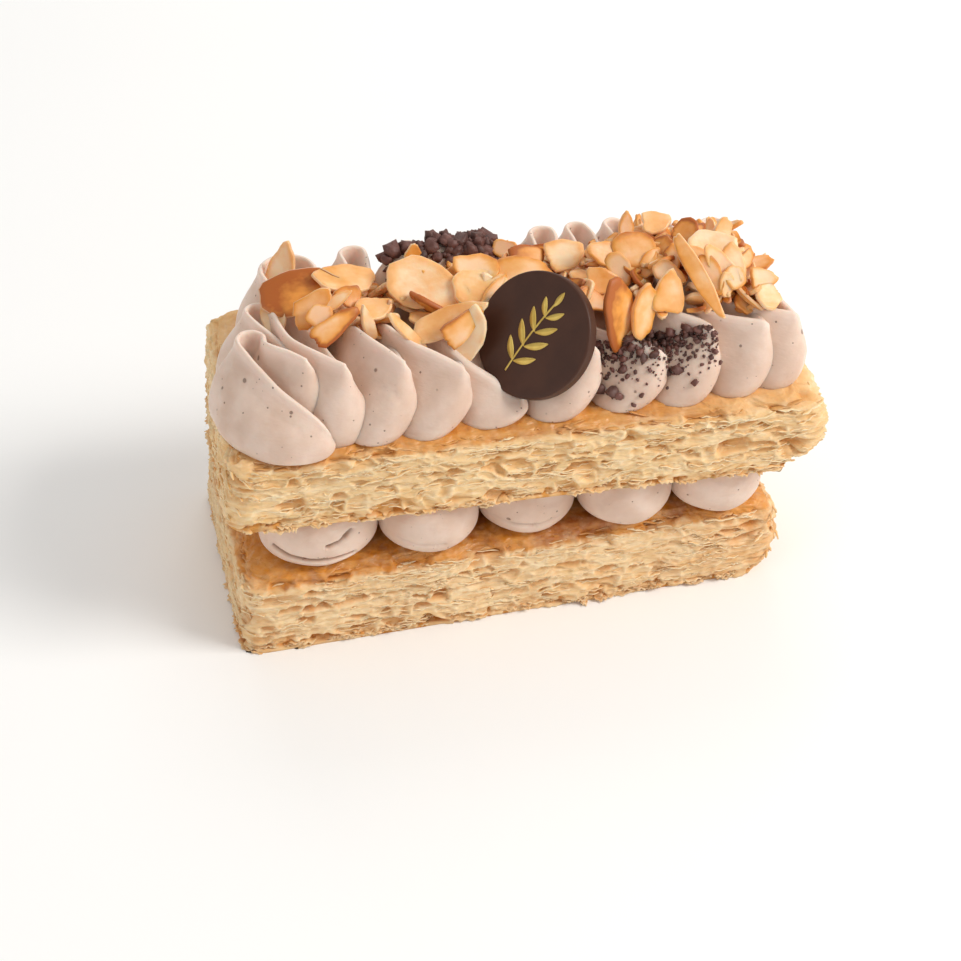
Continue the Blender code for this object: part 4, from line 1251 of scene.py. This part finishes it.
def makeHeroFlakes():
    # the listed flakes, straight from their table
    table = heroFlakes
    middles = np.array([row[0] for row in table]) + heroShift
    sizes = np.array([row[1] for row in table])
    facings = np.array([row[2] for row in table], float)
    turns = np.radians([row[3] for row in table])
    bows, toasts, fades = (np.array([row[k] for row in table], float) for k in (4, 5, 6))
    breaks = np.radians(np.array([np.nan if row[7] is None else row[7] for row in table], float))
    thickness = np.full(len(table), heroThickness)
    return flakeMeshes(middles, sizes, facings, turns, bows, toasts, fades, breaks, thickness, 51)


def makeScatterFlakes():
    # chance flakes spread evenly over each field, at the heap's height, tilted by a bell curve
    rng = np.random.default_rng(scatterFlakes["seed"])
    fields = []
    for many, low, high, sink, size in scatterFlakes["fields"]:
        x, y = rng.uniform(low[0], high[0], many), rng.uniform(low[1], high[1], many)
        z = heapTop(x, y) + rng.uniform(*sink, many)
        fields.append(np.column_stack((x, y, z, rng.uniform(*size, many))))
    x, y, z, lengths = np.vstack(fields).T
    count = len(x)
    middles = np.column_stack((x, y, z))
    sizes = np.column_stack((lengths, lengths * rng.uniform(*scatterFlakes["slimness"], count)))
    facings = np.column_stack((rng.normal(0.0, scatterFlakes["tilt"], (count, 2)), np.ones(count)))
    turns = rng.uniform(0.0, math.tau, count)
    bows = rng.normal(0.05, 0.12, count)
    toasts = np.clip(rng.beta(1.5, 2.6, count), 0.0, scatterFlakes["mostToast"])
    fades = rng.normal(0.0, 0.3, count)
    broken = rng.uniform(size=count) < scatterFlakes["broken"]
    breaks = np.where(broken, rng.uniform(0.0, math.tau, count), np.nan)
    thickness = rng.uniform(*scatterFlakes["thickness"], count)
    return flakeMeshes(middles, sizes, facings, turns, bows, toasts, fades, breaks, thickness, 52)


def makeFlakes():
    # both lots of flakes; the first stands in for the plain heap
    points, faces, marks = makeHeroFlakes()
    addPiece("almond_flakes_top", points, faces, almondMaterial, ("almond_heap",), marks)
    points, faces, marks = makeScatterFlakes()
    addPiece("almond_flakes_under", points, faces, almondMaterial, (), marks)


almondLook = {"pale": (0.94, 0.71, 0.46), "golden": (0.89, 0.49, 0.20), "orange": (0.78, 0.325, 0.055),
              "deep": (0.44, 0.115, 0.014), "rim": (0.94, 0.73, 0.49), "peach": (0.92, 0.56, 0.33)}


def makeAlmondMaterial():
    # a ramp from pale to deep by how toasted each flake is, browner near its rim
    look = almondLook
    material, tree, shader, spot = startMaterial("toastedAlmond")
    toast, rim, own = readMarks(tree, "toast", "rim", "own")
    cloud = useGroup(tree, mottleGroup, Vector=spot, Scale=190.0, Detail=3.0)
    streak = useGroup(tree, mottleGroup, Vector=stretch(tree, spot, (0.6, 1.6, 1.2)), Scale=420.0, Detail=3.0)
    mixed = plus(tree, times(tree, minus(tree, cloud, 0.5), 0.32), times(tree, minus(tree, streak, 0.5), 0.1))
    skin = times(tree, addRange(tree, rim, 0.55, 1.0), times(tree, own, 0.55))
    level = plus(tree, plus(tree, toast, mixed), skin)
    ramp = addNode(tree, "ShaderNodeValToRGB", {"Fac": level})
    stops = ((0.0, look["pale"]), (0.35, look["golden"]), (0.7, look["orange"]), (1.0, look["deep"]))
    while len(ramp.color_ramp.elements) < len(stops):
        ramp.color_ramp.elements.new(0.5)
    for element, (at, colour) in zip(ramp.color_ramp.elements, stops):
        element.position = at
        element.color = (*colour, 1.0)
    peach = times(tree, addRange(tree, own, 0.55, 0.8), addRange(tree, level, 0.1, 0.5, 0.75, 0.0))
    colour = addMix(tree, peach, ramp.outputs["Color"], look["peach"])
    edge = times(tree, addRange(tree, rim, 0.98, 1.3), addRange(tree, own, 0.3, 0.9, 0.5, 0.0))
    fillInputs(tree, shader, {"Base Color": addMix(tree, edge, colour, look["rim"]),
                              "Roughness": plus(tree, 0.34, times(tree, own, 0.16))})
    height = useGroup(tree, grainGroup, Vector=spot, Coarse=380.0, Fine=1400.0, Fine_Share=0.35)
    addBump(tree, shader, height, 0.0002, 0.5)
    softInside(shader, 0.3, (1.0, 0.5, 0.2), 0.0012)
    return material


nibHeap = {"count": 135, "x": (39.5, 69.5), "y": (39.0, 48.0), "size": (1.1, 4.0)}

# fine crumbs fall on the front lobes: how many, over what width, from where in front and above, how far
# down the faces they spread, which way they fall, their sizes
crumbFall = {"count": 380, "left": 78.0, "width": 26.0, "front": 6.0, "forward": 5.0, "top": 66.5,
             "down": 13.0, "way": (0.12, 0.72, -0.62), "size": (0.3, 0.95)}

# the larger crumbs on the same lobes: place and size
bigCrumbs = ((79.0, 6.0, 53.5, 2.2), (81.0, 3.5, 54.0, 2.6), (82.2, 3.0, 53.2, 1.6), (83.5, 5.5, 58.3, 2.0),
             (81.5, 6.5, 57.8, 1.1), (85.8, 4.0, 58.3, 1.1), (84.6, 0.5, 52.4, 1.1), (86.5, 1.0, 54.4, 1.2),
             (87.8, 5.3, 61.0, 2.1), (90.0, 4.8, 61.6, 2.0), (88.7, 3.2, 58.8, 0.9), (93.4, 4.6, 56.6, 2.0),
             (95.0, 3.4, 57.6, 2.1), (98.0, 0.6, 56.0, 1.6), (99.6, 2.0, 59.4, 0.9), (98.0, 5.2, 62.0, 1.1),
             (100.0, 6.4, 65.2, 1.9), (97.6, 8.6, 65.0, 1.4), (93.2, 10.5, 62.0, 2.5), (95.0, 9.6, 63.2, 2.4),
             (91.7, 12.5, 61.8, 2.0), (93.7, 9.0, 61.0, 2.1), (96.0, 8.0, 62.5, 2.0), (89.0, 13.0, 60.8, 2.2),
             (85.6, 7.3, 62.6, 2.0), (83.3, 7.7, 61.4, 1.6), (84.2, 4.1, 57.3, 1.2), (80.4, 6.6, 56.1, 1.2),
             (97.7, 7.3, 63.5, 1.6), (94.4, 8.0, 60.0, 1.4), (91.0, 10.5, 62.6, 2.0), (99.0, 7.4, 64.6, 1.2))


def chunkMeshes(middles, sizes, seed):
    # uneven lumps: a small ball on a grid whose points are pushed in and out by chance
    rng = np.random.default_rng(seed)
    around, levels = 8, 4
    angle = np.linspace(0.0, math.tau, around, endpoint=False)
    lean = np.linspace(-math.pi / 2, math.pi / 2, levels + 2)[1:-1]
    ball = np.stack((np.cos(lean)[:, None] * np.cos(angle), np.cos(lean)[:, None] * np.sin(angle),
                     np.broadcast_to(np.sin(lean)[:, None], (levels, around))), -1).reshape(-1, 3)
    ball = np.vstack((ball, (0.0, 0.0, -1.0), (0.0, 0.0, 1.0)))
    ball = np.sign(ball) * np.abs(ball) ** 0.75
    count = len(middles)
    stretch = rng.uniform(0.7, 1.15, (count, 1, 3))
    rough = 1.0 + rng.normal(0.0, 0.19, (count, len(ball), 1))
    points = ball[None] * stretch * rough * sizes[:, None, None] / 2
    cutWay = unit(rng.normal(size=(count, 1, 3)))
    beyond = np.clip((points * cutWay).sum(-1, keepdims=True) - 0.3 * sizes[:, None, None], 0.0, None)
    points = points - beyond * cutWay
    spin = rng.normal(size=(count, 4))
    spin /= np.linalg.norm(spin, axis=1, keepdims=True)
    w, x, y, z = spin.T
    turn = np.stack((np.stack((1 - 2 * (y * y + z * z), 2 * (x * y - z * w), 2 * (x * z + y * w)), -1),
                     np.stack((2 * (x * y + z * w), 1 - 2 * (x * x + z * z), 2 * (y * z - x * w)), -1),
                     np.stack((2 * (x * z - y * w), 2 * (y * z + x * w), 1 - 2 * (x * x + y * y)), -1)), 1)
    points = np.einsum("nij,nvj->nvi", turn, points) + middles[:, None]
    own = np.repeat(rng.uniform(0.0, 1.0, (count, 1)), len(ball), 1)
    return points.reshape(-1, 3), repeatedFaces(count, len(ball), levels, around), {"own": own}


def makeNibs(tree):
    # nibs dropped at chance places onto the cream's back folds, then crumbs onto the front lobes
    rng = np.random.default_rng(61)
    count = nibHeap["count"]
    x, y = rng.uniform(*nibHeap["x"], count), rng.uniform(*nibHeap["y"], count)
    least, most = nibHeap["size"]
    sizes = least + (most - least) * rng.beta(1.2, 2.0, count)
    hits, _, found = dropDown(tree, np.column_stack((x, y, np.full(count, 60.0))))
    hits, sizes = hits[found], sizes[found]
    hits[:, 2] += sizes * rng.uniform(0.2, 0.5, len(sizes))
    points, faces, marks = chunkMeshes(hits, sizes, 62)
    addPiece("cocoa_nibs", points, faces, nibMaterial, (), marks, smooth=False)

    # the crumbs lie thick near the top and thin out down the faces
    fall, count = crumbFall, crumbFall["count"]
    x = fall["left"] + fall["width"] * rng.uniform(size=count)
    down = rng.beta(1.1, 2.6, count)
    y = np.full(count, fall["front"]) - fall["forward"] * down
    start = np.column_stack((x, y, fall["top"] - fall["down"] * down))
    hits, normals, found = dropDown(tree, start, fall["way"])
    keep = found & (hits[:, 1] < 16.0) & (hits[:, 2] > 51.5)
    hits, normals, down = hits[keep], normals[keep], down[keep]
    sizes = rng.uniform(*fall["size"], len(hits)) * np.where(rng.uniform(size=len(hits)) < 0.1, 1.9, 1.0)
    sizes *= np.where(down < 0.3, 1.25, 0.85)
    big = np.array(bigCrumbs)
    bigHits, bigNormals, bigFound = dropDown(tree, big[:, :3], (0.3, 0.75, -0.6), 12.0)
    hits, normals = np.vstack((hits, bigHits[bigFound])), np.vstack((normals, bigNormals[bigFound]))
    sizes = np.concatenate((sizes, big[bigFound, 3]))
    points, faces, marks = chunkMeshes(hits + normals * sizes[:, None] * 0.22, sizes, 63)
    addPiece("chocolate_crumbs", points, faces, nibMaterial, (), marks, smooth=False)


chocolateLook = {"nibDark": (0.042, 0.015, 0.011), "nibRed": (0.15, 0.052, 0.040),
                 "nibDust": (0.28, 0.135, 0.105), "dark": (0.054, 0.0195, 0.011),
                 "lighter": (0.074, 0.029, 0.017), "gold": (0.72, 0.52, 0.13), "oldGold": (0.58, 0.38, 0.08)}


def makeNibMaterial():
    # dark red brown to nearly black, one tone for each lump, with a dusty cloud
    look = chocolateLook
    material, tree, shader, spot = startMaterial("cocoaNib")
    own, = readMarks(tree, "own")
    cloud = useGroup(tree, mottleGroup, Vector=spot, Scale=500.0, Detail=3.0)
    colour = addMix(tree, own, look["nibDark"], look["nibRed"])
    colour = addMix(tree, times(tree, cloud, 0.32), colour, look["nibDust"])
    fillInputs(tree, shader, {"Base Color": colour, "Roughness": 0.55})
    addBump(tree, shader, cloud, 0.0003, 0.6)
    return material


def discFrame():
    # the way the disc faces, the level line in its face and the line up its slope
    out = unit(np.array(disc["facing"]))
    level = unit(np.cross((0.0, 0.0, 1.0), out))
    return out, level, np.cross(out, level)


def makeDisc():
    # a profile from the middle of the back, round the bevelled rim, to the middle of the face, turned once
    radius, half, bevel = disc["radius"], disc["thickness"] / 2, disc["bevel"]
    lean = np.linspace(0.0, math.pi / 2, 6)
    backRim = np.column_stack((radius - bevel + bevel * np.sin(lean), -half + bevel - bevel * np.cos(lean)))
    faceRim = np.column_stack((radius - bevel + bevel * np.cos(lean), half - bevel + bevel * np.sin(lean)))
    inner = np.linspace(0.15, 0.93, 8)[:, None] * (radius, 0.0)
    profile = np.vstack((inner + (0.0, -half), backRim, faceRim, inner[::-1] + (0.0, half)))
    angle = np.linspace(0.0, math.tau, 128, endpoint=False)
    out, level, rise = discFrame()
    flat = (np.cos(angle)[:, None] * level + np.sin(angle)[:, None] * rise)[None] * profile[:, None, :1]
    middle = np.array(disc["middle"])
    rows = flat + profile[:, None, 1:] * out + middle
    points, faces = closedRows(rows, middle - out * half, middle + out * half)
    addPiece("chocolate_disc_cast", points, faces, chocolateMaterial, ("chocolate_disc",))


# the sprig on the disc: its lean in degrees, half the stem's length and width, how far it stands up, and
# each leaf's place along the stem, its length, its width and its angle from the stem in degrees
sprig = {"lean": 72.0, "stem": (10.0, 0.2), "rise": 0.12, "steps": 22,
         "leaves": ((-7.0, 5.6, 1.5, 48), (-7.0, 5.6, 1.5, -48), (-3.2, 6.0, 1.6, 46), (-3.2, 6.0, 1.6, -46),
                    (0.6, 5.6, 1.5, 44), (0.6, 5.6, 1.5, -44), (4.4, 4.6, 1.35, 40), (4.4, 4.6, 1.35, -40),
                    (7.4, 3.8, 1.3, 0))}


def makeSprig():
    # thin gold leaves and a stem on the disc's face: each a strip along its own middle line, its half-width
    # a sine of the way along, a little raised, closed underneath inside the chocolate
    out, level, rise = discFrame()
    steps = sprig["steps"]
    share = np.linspace(0.02, 0.98, steps)
    lean = math.radians(sprig["lean"])
    long, thin = sprig["stem"]
    shapes = [((-long, 0.0), 2 * long, thin, 0.0, np.ones(steps), 0.5)]
    for at, size, wide, angle in sprig["leaves"]:
        turned = math.radians(angle)
        fullness = np.sin(np.pi * share) ** 0.8
        shapes.append(((at, 0.0), size, wide / 2, turned, fullness, 0.45 * np.sign(angle)))
    points, faces, first = [], [], 0
    lift = disc["thickness"] / 2
    for (startX, startY), size, wide, turned, fullness, bend in shapes:
        along = share * size
        side = bend * np.sin(np.pi * share) * (0.6 if wide > thin else 1.0)
        rows = []
        for across, height in ((1.0, -0.2), (1.0, 0.6), (0.0, 1.0), (-1.0, 0.6), (-1.0, -0.2)):
            x = startX + along * math.cos(turned) - (side + across * wide * fullness) * math.sin(turned)
            y = startY + along * math.sin(turned) + (side + across * wide * fullness) * math.cos(turned)
            u = x * math.cos(lean) - y * math.sin(lean)
            v = x * math.sin(lean) + y * math.cos(lean)
            rows.append(np.array(disc["middle"]) + u[:, None] * level + v[:, None] * rise
                        + (lift + sprig["rise"] * height) * out)
        section = np.stack(rows, 1)
        own, ownFaces = closedRows(section, section[0].mean(axis=0), section[-1].mean(axis=0))
        points.append(own)
        faces += [group + first for group in ownFaces]
        first += len(own)
    addPiece("gold_sprig", np.vstack(points), faces, goldMaterial)


def makeGoldMaterial():
    # dull gold, cloudy
    material, tree, shader, spot = startMaterial("goldLeaf")
    cloud = useGroup(tree, mottleGroup, Vector=spot, Scale=400.0, Detail=3.0)
    colour = addMix(tree, cloud, chocolateLook["gold"], chocolateLook["oldGold"])
    fillInputs(tree, shader, {"Base Color": colour, "Metallic": 0.55, "Roughness": 0.38})
    return material


def makeChocolateMaterial():
    # dark and satin, with the faintest clouds
    material, tree, shader, spot = startMaterial("darkChocolate")
    cloud = useGroup(tree, mottleGroup, Vector=spot, Scale=140.0, Detail=4.0)
    colour = addMix(tree, cloud, chocolateLook["dark"], chocolateLook["lighter"])
    fillInputs(tree, shader, {"Base Color": colour, "Roughness": addRange(tree, cloud, 0.0, 1.0, 0.4, 0.5),
                              "Specular IOR Level": 0.25})
    height = useGroup(tree, grainGroup, Vector=spot, Coarse=250.0, Fine=1800.0, Fine_Share=0.3)
    addBump(tree, shader, height, 0.0001, 0.35)
    return material


makeCamera()
makeStudio()
print("studio ready")
pastryMaterials = {name: makePastryMaterial(name) for name in slabs}
creamMaterial = makeCreamMaterial()
almondMaterial = makeAlmondMaterial()
nibMaterial = makeNibMaterial()
chocolateMaterial = makeChocolateMaterial()
goldMaterial = makeGoldMaterial()
slabPieces = [makeSlab(slabName) for slabName in slabs]
makeLeaves(surfaceTree(*slabPieces))
makeFillings()
ribbonPiece = makeRibbon()
makeBed()
seatPiece = makeNibSeat()
makeDisc()
makeSprig()
makeFlakes()
makeNibs(surfaceTree(ribbonPiece, seatPiece))
